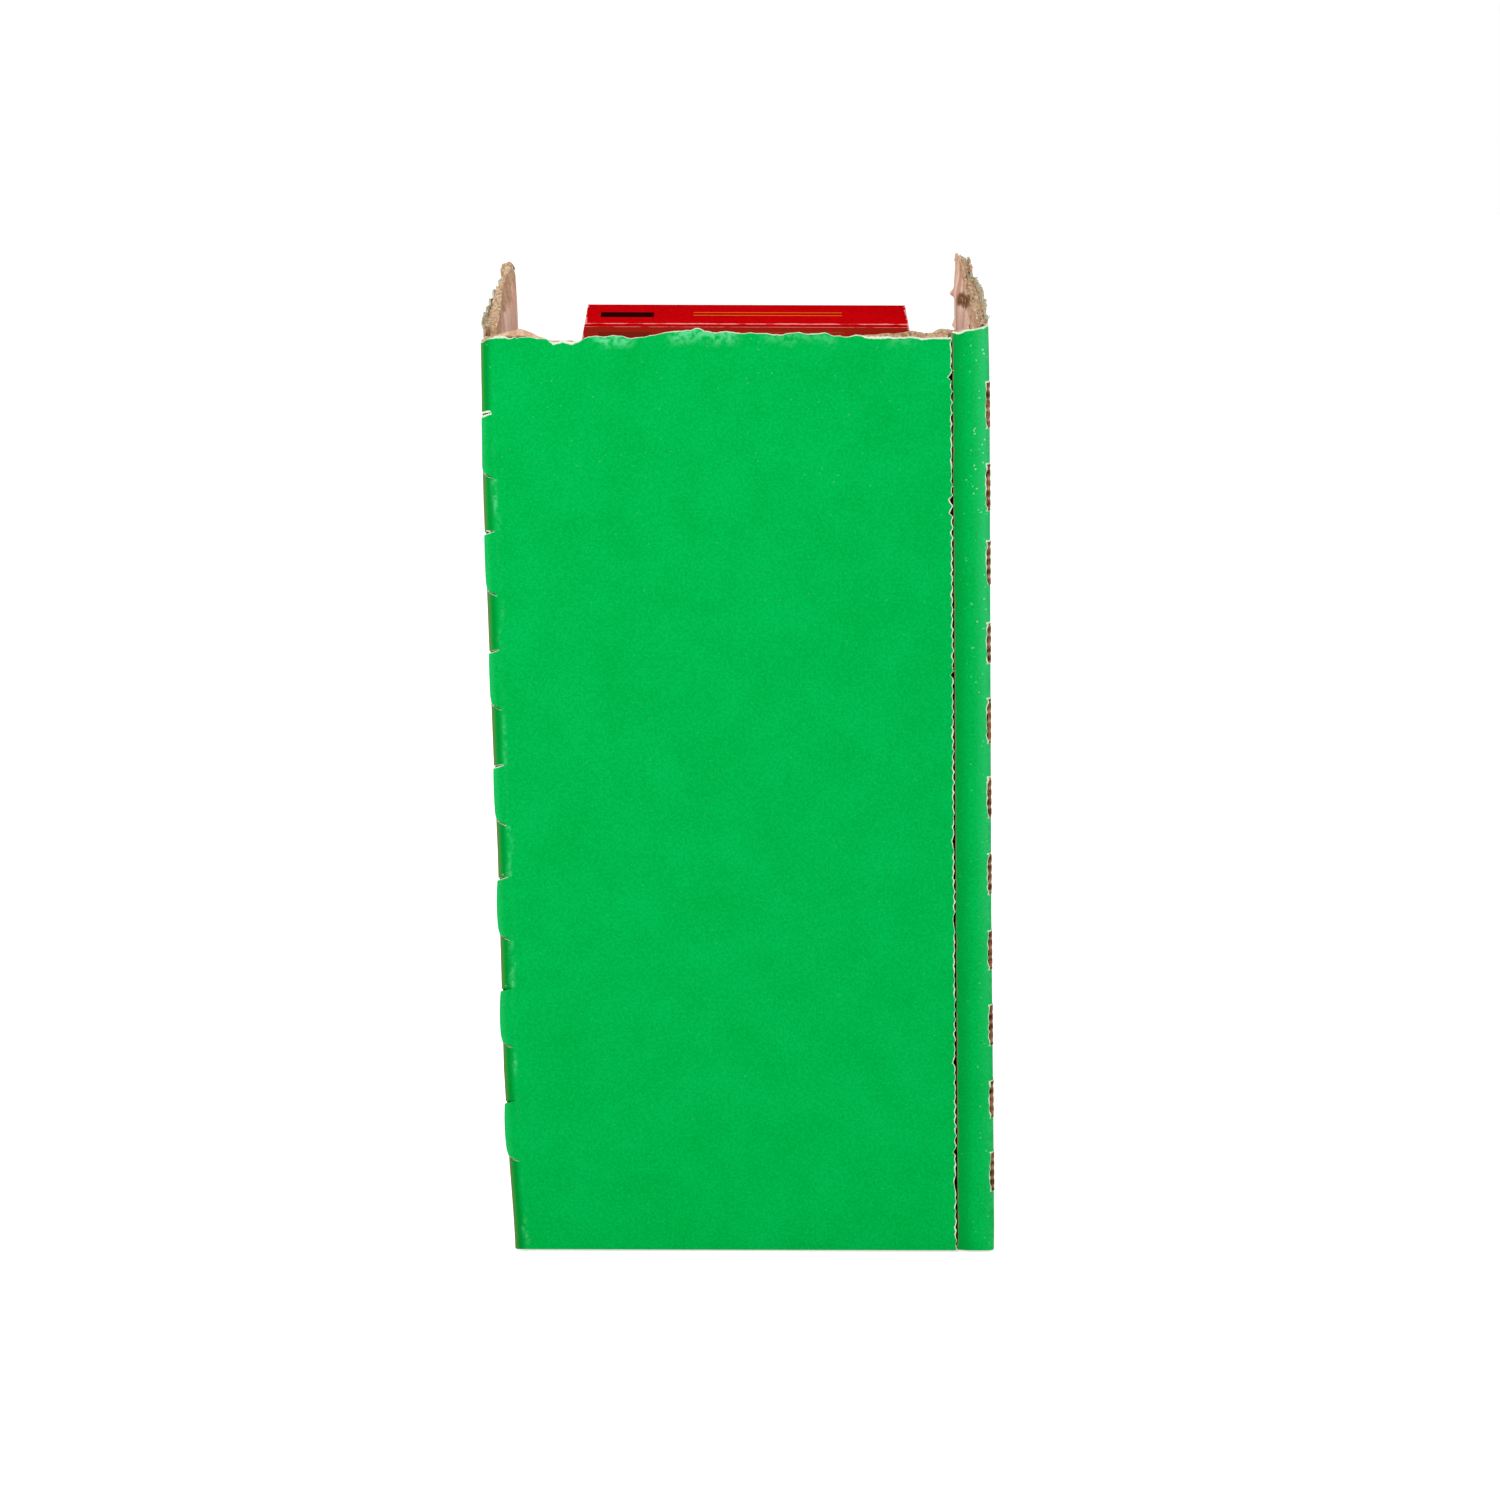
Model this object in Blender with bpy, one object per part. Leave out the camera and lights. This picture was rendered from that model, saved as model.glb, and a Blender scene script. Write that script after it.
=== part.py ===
"""Torn-open shelf carton of corrugated board, holding boxed rolls of tape.

Metres, +Z up. The closed rear panel faces -Y, the open customer side is +Y and the base rests on z = 0.
"""
import math
import random

import bmesh
import bpy
from mathutils import Matrix

# Running clearance between neighbouring pieces
CLEARANCE = 0.0003

# Corrugated board
LINER = 0.0004
FLUTE_HEIGHT = 0.0016
FLUTE_PAPER = 0.0003
FLUTE_PITCH = 0.0030
FLUTE_CREST = 0.0005
BOARD = 2 * LINER + 2 * CLEARANCE + FLUTE_HEIGHT

# Torn edges: how far apart the points lie, how rough they are and how the plies step
TEAR_STEP = 0.0030
TEAR_ROUGHNESS = 0.0006
TEAR_PLY_STEP = 0.0005
TEAR_MARGIN = 0.0050
TEAR_SEED = 11

# The tear climbs towards the right wall: its rise at the seam and along that wall
SEAM_TEAR_RISE = 0.0008
RIGHT_TEAR_RISE = 0.0025

# The torn carton leans to the left: how far sideways for each unit of height
LEAN = 0.0238

# Cut-crease tabs on the left fold, as many as fit below the torn edge
TAB_PITCH = 0.0216
TAB_LENGTH = 0.0121
TAB_FIRST = 0.0238
TAB_BULGE = 0.00045

# Perforation dashes in the right fold, as many as fit below the torn edge
DASH_PITCH = 0.01453
DASH_LENGTH = 0.0079
DASH_FIRST = 0.0153
DASH_WIDTH = 0.0011

# Seam between the rear panel and the return of the right wall
RETURN_WIDTH = 0.0060
SEAM_GAP = 0.0008
GLUE_TAB_THICKNESS = 0.0020
GLUE_TAB_DROP = 0.0010

# Flaps that hold the base panel
GLUE_FLAP_THICKNESS = 0.0028

# Tape roll: three-quarter inch tape on a one inch core
TAPE_WIDTH = 0.0190
TAPE_DIAMETER = 0.0592
CORE_BORE = 0.0254
CORE_WALL = 0.0025
ROLL_SIDES = 40
ROLL_SHARP_ANGLE = math.radians(40)
MERGE_DISTANCE = 0.00003

# Red tape carton
PAPERBOARD = 0.00040
CARTON_THICKNESS = TAPE_WIDTH + 2 * CLEARANCE + 2 * PAPERBOARD
CARTON_SIDE = TAPE_DIAMETER + 2 * CLEARANCE + 2 * PAPERBOARD
LID_EAR_LENGTH = 0.0045
LID_EAR_WIDTH = 0.0100
LID_EAR_LEAN = math.radians(12)

# How the cartons are stacked, and the room that the shelf carton leaves around them at half height
FLAT_COUNT = 5
STANDING_COUNT = 3
LEFT_BAY = 0.01188
RIGHT_BAY = 0.01152
BAY_CLEARANCE = 0.0013
STACK_SETBACK = 0.0006
OPEN_MARGIN = 0.0056
TORN_RISE = 0.0060

# Shelf carton, worked out from the stack that it holds
CARTON_STEP = CARTON_THICKNESS + CLEARANCE
STACK_Z = BOARD + CLEARANCE
STANDING_Z = STACK_Z + FLAT_COUNT * CARTON_STEP
BOX_WIDTH = 2 * BOARD + LEFT_BAY + CARTON_SIDE + RIGHT_BAY
BOX_DEPTH = BOARD + STACK_SETBACK + STANDING_COUNT * CARTON_STEP - CLEARANCE + OPEN_MARGIN
TORN_HEIGHT = STANDING_Z + CARTON_SIDE + TORN_RISE
LEAN_PIVOT = TORN_HEIGHT / 2

# Places in the shelf carton
INNER_LINER_FACE = BOARD - LINER
FLUTE_OFFSET = LINER + CLEARANCE
LEFT_X = -BOX_WIDTH / 2
RIGHT_X = BOX_WIDTH / 2
REAR_Y = -BOX_DEPTH / 2
OPEN_Y = BOX_DEPTH / 2
RETURN_X = RIGHT_X - RETURN_WIDTH
SEAM_X = RETURN_X - SEAM_GAP
WALL_FOOT = BOARD + CLEARANCE
WALL_LENGTH = BOX_DEPTH - BOARD - CLEARANCE
STACK_X = (LEFT_BAY - RIGHT_BAY) / 2
STACK_REAR_Y = REAR_Y + BOARD + STACK_SETBACK

GREEN = (0.003, 0.470, 0.075)
KRAFT = (0.552, 0.305, 0.223)
MEDIUM = (0.440, 0.270, 0.150)
RED = (0.610, 0.003, 0.004)
FILM = (0.780, 0.740, 0.620)
CORE_GREY = (0.480, 0.420, 0.340)


def clear_scene():
    for obj in list(bpy.data.objects):
        bpy.data.objects.remove(obj, do_unlink=True)


def make_material(name, color, roughness):
    material = bpy.data.materials.new(name)
    material.use_nodes = True
    shader = material.node_tree.nodes["Principled BSDF"]
    shader.inputs["Base Color"].default_value = (*color, 1.0)
    shader.inputs["Roughness"].default_value = roughness
    shader.inputs["Metallic"].default_value = 0.0
    return material


def add_object(name, bm, material, parent=None):
    """Turn a finished bmesh into a named object."""
    bmesh.ops.triangulate(bm, faces=bm.faces[:])
    bmesh.ops.recalc_face_normals(bm, faces=bm.faces[:])
    mesh = bpy.data.meshes.new(name)
    bm.to_mesh(mesh)
    bm.free()
    mesh.materials.append(material)
    obj = bpy.data.objects.new(name, mesh)
    bpy.context.scene.collection.objects.link(obj)
    obj.parent = parent
    return obj


def add_empty(name, location, rotation=(0.0, 0.0, 0.0), parent=None):
    empty = bpy.data.objects.new(name, None)
    bpy.context.scene.collection.objects.link(empty)
    empty.location = location
    empty.rotation_euler = rotation
    empty.parent = parent
    return empty


def extrude_outline(points, direction):
    """A closed solid: the outline's face, extruded along the given vector."""
    bm = bmesh.new()
    face = bm.faces.new([bm.verts.new(point) for point in points])
    extruded = bmesh.ops.extrude_face_region(bm, geom=[face])
    moved = [item for item in extruded["geom"] if isinstance(item, bmesh.types.BMVert)]
    bmesh.ops.translate(bm, vec=direction, verts=moved)
    return bm


def torn_line(start, end, rng):
    """Points of a torn top edge between two ends in (x, z)."""
    (x0, z0), (x1, z1) = start, end
    count = max(2, round(abs(x1 - x0) / TEAR_STEP))
    points = []
    for index in range(count + 1):
        share = index / count
        height = z0 + (z1 - z0) * share
        points.append((x0 + (x1 - x0) * share, height + rng.uniform(-TEAR_ROUGHNESS, TEAR_ROUGHNESS)))
    return points


def copies_that_fit(first, pitch, length):
    """How many cuts of a pattern fit below the torn edge, counted from the foot."""
    return int((TORN_HEIGHT - TEAR_MARGIN - length / 2 - first) // pitch) + 1


def tab_edge(x):
    """The left fold's edge from the foot up: set in, with tabs that bulge out to x."""
    points = []
    for index in range(copies_that_fit(TAB_FIRST, TAB_PITCH, TAB_LENGTH)):
        middle = TAB_FIRST + index * TAB_PITCH
        for side in (-1, 1):
            inner = (x + TAB_BULGE, middle + side * TAB_LENGTH / 2)
            outer = (x, middle + side * (TAB_LENGTH / 2 - TAB_BULGE))
            points += [inner, outer] if side < 0 else [outer, inner]
    return points


def dash_edge(x):
    """The right fold's edge from the foot up, notched where the perforation is cut through."""
    points = []
    for index in range(copies_that_fit(DASH_FIRST, DASH_PITCH, DASH_LENGTH)):
        low = DASH_FIRST + index * DASH_PITCH - DASH_LENGTH / 2
        high = low + DASH_LENGTH
        points += [(x, low), (x - DASH_WIDTH, low), (x - DASH_WIDTH, high), (x, high)]
    return points


def sheet_outline(left, right, foot, tops, rng, left_edge=(), right_edge=()):
    """Outline of one ply in (x, z), anticlockwise from the left foot, torn between its two top heights."""
    outline = [(left, foot), (right, foot), *right_edge]
    outline += torn_line((right, tops[1]), (left, tops[0]), rng)
    return outline + list(reversed(left_edge))


def plain_outline(left, right, foot, height):
    return [(left, foot), (right, foot), (right, height), (left, height)]


def add_liner(name, outline, offset, material, parent):
    """A paper liner in the local XZ plane, lying offset into the board."""
    bm = extrude_outline([(x, offset, z) for x, z in outline], (0.0, LINER, 0.0))
    return add_object(name, bm, material, parent)


def flute_profile(foot, height):
    """The fluting's mid-line in (depth, z): flat crests joined by slopes, cut off at the height."""
    rise = FLUTE_HEIGHT - FLUTE_PAPER
    slope = FLUTE_PITCH / 2 - FLUTE_CREST
    points = [(0.0, foot)]
    depth = 0.0
    z = foot
    while z < height:
        z = min(z + FLUTE_CREST, height)
        points.append((depth, z))
        run = min(slope, height - z)
        if run > 0:
            target = rise - depth
            points.append((depth + (target - depth) * run / slope, z + run))
            depth = target
        z += slope
    return points


def add_fluting(name, left, right, foot, height, material, parent):
    """The wavy middle ply. Its flutes run along local X."""
    middle = flute_profile(foot, height)
    loop = [(left, FLUTE_OFFSET + depth, z) for depth, z in middle]
    loop += [(left, FLUTE_OFFSET + FLUTE_PAPER + depth, z) for depth, z in reversed(middle)]
    bm = extrude_outline(loop, (right - left, 0.0, 0.0))
    return add_object(name, bm, material, parent)


def add_torn_panel(name, frame, left, right, foot, rng, rises=(0.0, 0.0), edges=((), ())):
    """Three plies of a wall with a torn top: the printed liner tears lowest, the inner one highest."""
    tops = [TORN_HEIGHT + rise for rise in rises]
    outer = sheet_outline(left, right, foot, [top - TEAR_PLY_STEP for top in tops], rng, *edges)
    add_liner(name + "_printed_liner", outer, 0.0, MATERIALS["green_print"], frame)
    inset = DASH_WIDTH + CLEARANCE if edges[1] else 0.0
    add_fluting(name + "_fluting", left, right - inset, foot, min(tops) - TEAR_ROUGHNESS,
                MATERIALS["kraft_fluting"], frame)
    inner = sheet_outline(left, right, foot, [top + TEAR_PLY_STEP for top in tops], rng)
    add_liner(name + "_inner_liner", inner, INNER_LINER_FACE, MATERIALS["kraft_liner"], frame)


def add_base_panel():
    """The base flap of the rear panel, folded under the carton, printed side down."""
    frame = add_empty("base_frame", (0.0, OPEN_Y, 0.0), (math.pi / 2, 0.0, 0.0))
    depth = BOX_DEPTH - BOARD - CLEARANCE
    outline = plain_outline(LEFT_X, RIGHT_X, 0.0, depth)
    add_liner("base_panel_printed_liner", outline, 0.0, MATERIALS["green_print"], frame)
    add_fluting("base_panel_fluting", LEFT_X, RIGHT_X, 0.0, depth, MATERIALS["kraft_fluting"], frame)
    add_liner("base_panel_inner_liner", outline, INNER_LINER_FACE, MATERIALS["kraft_liner"], frame)


def add_block(name, low, high, material):
    """A plain plate between two corners."""
    (x0, y0, z0), (x1, y1, z1) = low, high
    ring = [(x0, y0, z0), (x1, y0, z0), (x1, y1, z0), (x0, y1, z0)]
    return add_object(name, extrude_outline(ring, (0.0, 0.0, z1 - z0)), material)


def beside_stack(side, z):
    """Where a piece of the square carton has to end, so that it clears the stack once it leans."""
    return STACK_X + side * (CARTON_SIDE / 2 + BAY_CLEARANCE) + LEAN * (z - LEAN_PIVOT)


def add_glue_pieces():
    """The crushed tab behind the seam and the two flaps above the base panel."""
    kraft = MATERIALS["kraft_liner"]
    inner_x = BOX_WIDTH / 2 - BOARD - CLEARANCE
    behind = REAR_Y + BOARD + CLEARANCE
    flap_top = WALL_FOOT + GLUE_FLAP_THICKNESS
    tab_top = TORN_HEIGHT - GLUE_TAB_DROP
    low = (beside_stack(1, tab_top), behind, flap_top + CLEARANCE)
    high = (inner_x, behind + GLUE_TAB_THICKNESS, tab_top)
    add_block("glue_tab", low, high, kraft)
    for side, name in ((-1, "left_glue_flap"), (1, "right_glue_flap")):
        xs = sorted((side * inner_x, beside_stack(side, WALL_FOOT)))
        add_block(name, (xs[0], behind, WALL_FOOT), (xs[1], OPEN_Y, flap_top), kraft)


def lean_over(objects):
    """Rack square pieces sideways about half height: the higher a point, the further it moves to -X."""
    rack = Matrix.Identity(4)
    rack[0][2] = -LEAN
    rack[0][3] = LEAN * LEAN_PIVOT
    bpy.context.view_layer.update()
    for obj in objects:
        place = obj.matrix_world
        obj.data.transform(place.inverted() @ rack @ place)


def add_shelf_carton():
    """The carton is drawn square, torn at the top, and then leans over as one."""
    rng = random.Random(TEAR_SEED)
    rear = add_empty("rear_frame", (0.0, REAR_Y, 0.0))
    tabs = tab_edge(LEFT_X)
    rises = (0.0, SEAM_TEAR_RISE)
    add_torn_panel("rear_panel", rear, LEFT_X + TAB_BULGE, SEAM_X, 0.0, rng, rises, (tabs, ()))
    rises = (SEAM_TEAR_RISE, RIGHT_TEAR_RISE)
    add_torn_panel("seam_strip", rear, RETURN_X, RIGHT_X, 0.0, rng, rises, ((), dash_edge(RIGHT_X)))
    left = add_empty("left_frame", (LEFT_X, OPEN_Y, 0.0), (0.0, 0.0, -math.pi / 2))
    add_torn_panel("left_wall", left, 0.0, WALL_LENGTH, WALL_FOOT, rng)
    right = add_empty("right_frame", (RIGHT_X, OPEN_Y, 0.0), (0.0, 0.0, math.pi / 2))
    rises = (RIGHT_TEAR_RISE, RIGHT_TEAR_RISE)
    add_torn_panel("right_wall", right, -WALL_LENGTH, 0.0, WALL_FOOT, rng, rises)
    add_base_panel()
    add_glue_pieces()
    lean_over([obj for obj in bpy.data.objects if obj.type == "MESH"])


def add_sleeve(name, parent):
    """The paperboard case below the lid: an open box with walls thickened inwards."""
    half_x = CARTON_SIDE / 2
    half_y = CARTON_THICKNESS / 2
    ring = [(-half_x, -half_y, 0.0), (half_x, -half_y, 0.0), (half_x, half_y, 0.0), (-half_x, half_y, 0.0)]
    rim = CARTON_SIDE - PAPERBOARD - CLEARANCE
    bm = extrude_outline(ring, (0.0, 0.0, rim))
    top = max(bm.faces, key=lambda face: face.calc_center_median().z)
    bmesh.ops.inset_region(bm, faces=[top], thickness=PAPERBOARD, use_even_offset=True)
    well = bmesh.ops.extrude_discrete_faces(bm, faces=[top])["faces"][0]
    bmesh.ops.translate(bm, vec=(0.0, 0.0, PAPERBOARD - rim), verts=well.verts[:])
    return add_object(name, bm, MATERIALS["red_paperboard"], parent)


def add_lid(name, hinge):
    """The tuck lid in its hinge's frame: a plate towards -Y with two short ears at its free edge."""
    half_x = CARTON_SIDE / 2
    half_board = PAPERBOARD / 2
    tip = half_board - CARTON_THICKNESS
    slope = math.tan(LID_EAR_LEAN)
    ear_y = tip + PAPERBOARD + CLEARANCE
    ear_x = half_x - PAPERBOARD - CLEARANCE
    bm = bmesh.new()
    steps = (-half_x, -ear_x, LID_EAR_WIDTH - ear_x, ear_x - LID_EAR_WIDTH, ear_x, half_x)
    ys = (tip, ear_y, ear_y + PAPERBOARD, half_board)
    grid = [[bm.verts.new((x, y, -half_board)) for x in steps] for y in ys]
    bottom = {}
    for row in range(len(ys) - 1):
        for column in range(len(steps) - 1):
            corners = (grid[row][column], grid[row][column + 1])
            corners += (grid[row + 1][column + 1], grid[row + 1][column])
            bottom[row, column] = bm.faces.new(corners)
    raised = bmesh.ops.extrude_face_region(bm, geom=list(bottom.values()))
    moved = [item for item in raised["geom"] if isinstance(item, bmesh.types.BMVert)]
    bmesh.ops.translate(bm, vec=(0.0, 0.0, PAPERBOARD), verts=moved)
    for column in (1, 3):
        ear = bmesh.ops.extrude_discrete_faces(bm, faces=[bottom[1, column]])["faces"][0]
        bmesh.ops.translate(bm, vec=(0.0, slope * LID_EAR_LENGTH, -LID_EAR_LENGTH), verts=ear.verts[:])
    return add_object(name, bm, MATERIALS["red_paperboard"], hinge)


def add_ring(name, outer_radius, inner_radius, material, parent):
    """A ring about local Y, as wide as the tape."""
    bm = bmesh.new()
    half = TAPE_WIDTH / 2
    section = [(outer_radius, -half), (outer_radius, half), (inner_radius, half), (inner_radius, -half)]
    verts = [bm.verts.new((x, y, 0.0)) for x, y in section]
    edges = [bm.edges.new((verts[i], verts[(i + 1) % 4])) for i in range(4)]
    bmesh.ops.spin(bm, geom=verts + edges, cent=(0, 0, 0), axis=(0, 1, 0), angle=2 * math.pi,
                   steps=ROLL_SIDES, use_merge=True)
    bmesh.ops.remove_doubles(bm, verts=bm.verts[:], dist=MERGE_DISTANCE)
    ring = add_object(name, bm, material, parent)
    ring.data.shade_smooth()
    ring.data.set_sharp_from_angle(angle=ROLL_SHARP_ANGLE)
    ring.location = (0.0, 0.0, PAPERBOARD + CLEARANCE + TAPE_DIAMETER / 2)
    return ring


def add_tape_carton(name, location, rotation):
    """One boxed roll: sleeve, hinged lid, wound tape and core, upright in its own frame."""
    frame = add_empty(name + "_frame", location, rotation)
    add_sleeve(name + "_sleeve", frame)
    core_radius = CORE_BORE / 2 + CORE_WALL
    add_ring(name + "_tape", TAPE_DIAMETER / 2, core_radius + CLEARANCE, MATERIALS["tape_film"], frame)
    add_ring(name + "_core", core_radius, CORE_BORE / 2, MATERIALS["core_board"], frame)
    hinge_at = (0.0, (CARTON_THICKNESS - PAPERBOARD) / 2, CARTON_SIDE - PAPERBOARD / 2)
    add_lid(name + "_lid", add_empty(name + "_hinge", hinge_at, parent=frame))


def add_stack():
    """Flat cartons with their lids to the open side, and a row of standing ones on top."""
    for index in range(FLAT_COUNT):
        z = STACK_Z + index * CARTON_STEP + CARTON_THICKNESS / 2
        location = (STACK_X, STACK_REAR_Y, z)
        add_tape_carton("flat_carton_%d" % (index + 1), location, (math.pi / 2, 0.0, math.pi))
    for index in range(STANDING_COUNT):
        y = STACK_REAR_Y + index * CARTON_STEP + CARTON_THICKNESS / 2
        add_tape_carton("standing_carton_%d" % (index + 1), (STACK_X, y, STANDING_Z), (0.0, 0.0, 0.0))


clear_scene()
MATERIALS = {
    "green_print": make_material("green_print", GREEN, 0.55),
    "kraft_liner": make_material("kraft_liner", KRAFT, 0.90),
    "kraft_fluting": make_material("kraft_fluting", MEDIUM, 0.95),
    "red_paperboard": make_material("red_paperboard", RED, 0.40),
    "tape_film": make_material("tape_film", FILM, 0.30),
    "core_board": make_material("core_board", CORE_GREY, 0.90),
}
add_shelf_carton()
add_stack()
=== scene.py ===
import math

import bmesh
import bpy
import numpy as np
from mathutils import Euler, Matrix, Vector, noise


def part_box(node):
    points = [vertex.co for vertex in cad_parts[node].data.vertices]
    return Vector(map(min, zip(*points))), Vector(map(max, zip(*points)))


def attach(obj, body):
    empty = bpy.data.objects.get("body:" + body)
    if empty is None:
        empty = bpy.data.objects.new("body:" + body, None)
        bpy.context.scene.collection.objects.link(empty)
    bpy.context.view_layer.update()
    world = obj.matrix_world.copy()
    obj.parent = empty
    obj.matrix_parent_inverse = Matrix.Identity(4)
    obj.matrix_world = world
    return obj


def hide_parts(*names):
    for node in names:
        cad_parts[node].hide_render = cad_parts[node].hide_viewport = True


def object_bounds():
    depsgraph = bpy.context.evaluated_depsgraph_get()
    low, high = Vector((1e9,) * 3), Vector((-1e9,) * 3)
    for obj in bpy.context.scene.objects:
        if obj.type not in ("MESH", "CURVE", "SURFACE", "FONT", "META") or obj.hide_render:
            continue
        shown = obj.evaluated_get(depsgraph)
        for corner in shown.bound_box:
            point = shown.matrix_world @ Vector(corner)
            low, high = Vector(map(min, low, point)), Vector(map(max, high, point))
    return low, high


# A torn-open shelf carton of corrugated board with red cartons of tape in it. The closed rear panel
# faces -Y, the open side is +Y, and lengths are metres.
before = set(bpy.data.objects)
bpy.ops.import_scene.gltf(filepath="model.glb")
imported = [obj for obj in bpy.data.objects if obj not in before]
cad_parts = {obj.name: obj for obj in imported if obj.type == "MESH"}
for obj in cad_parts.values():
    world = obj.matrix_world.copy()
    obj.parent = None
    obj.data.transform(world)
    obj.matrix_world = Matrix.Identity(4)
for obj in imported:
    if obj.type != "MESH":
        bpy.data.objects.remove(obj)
CAD_LOW, CAD_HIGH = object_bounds()

MM = 0.001
SHELF = "shelf_carton"
CARTONS = [name[:-len("_sleeve")] for name in sorted(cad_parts) if name.endswith("_sleeve")]

# Shelf carton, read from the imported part: modelled square, and leant over as each piece is seated
LEAN, LEAN_PIVOT = 0.0238, 86.7 * MM
REAR_Y, OPEN_Y = CAD_LOW.y, CAD_HIGH.y
RIGHT_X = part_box("base_panel_printed_liner")[1].x - LEAN * LEAN_PIVOT
LEFT_X = -RIGHT_X
TOP_Z = CAD_HIGH.z - 0.03 * MM
SEAM_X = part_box("rear_panel_printed_liner")[1].x - LEAN * LEAN_PIVOT
RETURN_X = SEAM_X + 0.8 * MM
WALL_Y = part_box("left_wall_printed_liner")[0].y
FOOT_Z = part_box("left_wall_printed_liner")[0].z
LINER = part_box("rear_panel_printed_liner")[1].y - REAR_Y
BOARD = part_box("rear_panel_inner_liner")[1].y - REAR_Y

# Fluting between the liners
FLUTE_PITCH = 3.0 * MM
FLUTE_PAPER = 0.25 * MM
FLUTE_SWING = (BOARD - 2 * LINER - FLUTE_PAPER) / 2 - 0.05 * MM
FLUTE_STEPS = 10
FLUTE_FOOT, FLUTE_COLUMN, FLUTE_FAR = 0.15 * MM, 2.2 * MM, 0.6 * MM

# Torn edges: straight rows end at TEAR_FOOT, and the rows above stretch to the torn line
TEAR_FOOT = 168.0 * MM
TEAR_LINE = 173.4 * MM
TEAR_ROWS = np.array([4.4, 3.4, 2.5, 1.8, 1.2, 0.75, 0.35, 0.0]) * MM
FINE_ROW = 0.28 * MM
TORN_WAVES = ((0.24, 1.5), (0.13, 0.55))
PANEL_TEAR = ((-45.0, 172.35), (-43.8, 172.1), (-43.3, 172.6), (-42.2, 173.05), (-40.6, 173.35),
              (-40.1, 173.0), (-38.6, 173.1), (-35.8, 172.95), (-33.4, 172.95), (-33.0, 172.8),
              (-32.55, 172.25), (-30.3, 172.35), (-27.8, 172.3), (-27.5, 172.2), (-27.0, 172.4),
              (-25.9, 172.9), (-24.8, 173.1), (-23.4, 173.2), (-16.7, 173.15), (-6.5, 174.6),
              (-5.1, 174.1), (4.6, 173.75), (17.0, 173.8), (19.7, 173.45), (29.4, 173.2), (38.3, 173.15))
STRIP_TEAR = ((38.6, 174.15), (40.9, 174.5), (42.5, 174.75), (43.8, 175.2), (45.0, 175.5))
LINING_TEAR = ((-45.0, 172.7), (-43.5, 172.3), (-41.5, 173.05), (-39.5, 173.75), (-38.0, 173.95),
               (-35.95, 173.3), (-34.6, 172.65), (-33.5, 172.3), (-33.0, 171.9), (-28.0, 171.8),
               (-25.0, 171.0), (16.0, 172.0), (22.0, 172.9), (26.0, 173.35), (29.5, 173.5), (31.7, 173.85),
               (34.0, 173.55), (36.6, 173.65), (38.2, 173.7), (40.0, 173.4), (45.0, 174.3))
# Rubbed print below the tear: start, end and strength
RUBS = ((-26.0, -17.0, 0.95), (-12.5, 1.5, 0.85), (4.0, 19.0, 0.35), (26.0, 33.0, 0.25))
RUB_FADE = 2.5
RUB_DEPTH = 2.2

# Rough lines: size, length of a wave in millimetres, and seed. A size is in millimetres or a share
ROUGH = {
    "seam_edge": (0.07, 0.9, 21), "panel_white": (0.12, 2.2, 33), "panel_fringe": (0.12, 0.9, 34),
    "fold_worn_fine": (0.3, 0.8, 35), "rub_depth": (1.0, 2.5, 36), "fold_worn": (0.6, 3.1, 37),
    "tab_ends": (0.14, 9.0, 38), "fold_line": (0.4, 2.0, 39), "strip_edge": (0.05, 1.1, 41),
    "dash_edge": (0.08, 0.9, 43), "strip_white": (0.1, 1.0, 44), "dash_fringe": (0.12, 0.8, 45),
    "strip_rub": (0.25, 1.7, 46), "dash_ends": (0.09, 3.0, 47), "strip_bare": (0.09, 1.0, 48),
    "dash_hollow_shade": (0.5, 0.9, 49), "wall_print": (0.22, 1.3, 1), "wall_print_fine": (0.12, 0.5, 2),
    "wall_far_edge": (0.25, 1.4, 5), "wall_white": (0.3, 1.6, 6), "wall_far_white": (0.25, 1.6, 7),
    "lining_wave": (0.07, 2.0, 9), "wall_lining": (0.3, 1.9, 11), "wall_lining_fine": (0.14, 0.6, 12),
    "lining_frayed": (3.0, 7.0, 14), "cross_tear_shade": (0.25, 2.5, 15), "cross_tear": (0.35, 3.0, 16),
    "cross_tear_width": (0.3, 4.0, 17), "base_edge": (0.3, 1.5, 91), "pits": (0.25, 0.7, 1),
    "torn_plies": (0.5, 1.7, 2),
}

# How far the rear corners bow out of line, by height
LEFT_BOW = np.array([[1.8, 6.8, 11.8, 16.7, 35.5, 55.8, 77.6, 98.5, 143.0, 165.0, 180.0],
                     [0.27, 0.11, -0.11, -0.3, -0.72, -0.52, -0.39, -0.53, -0.62, -0.4, -0.1]]) * MM
RIGHT_BOW = np.array([[0.0, 24.0, 66.0, 98.0, 120.0, 152.0, 167.0, 175.0],
                      [0.1, 0.09, 0.0, 0.11, 0.19, 0.31, 0.32, 0.2]]) * MM
BOW_DEPTH = (REAR_Y + 1.0 * MM, REAR_Y + 9.0 * MM)
LEFT_BOW_REACH, RIGHT_BOW_REACH = (25.0 * MM, 43.0 * MM), (39.5 * MM, 44.0 * MM)
BOX_ROOM = 0.01 * MM

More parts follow.
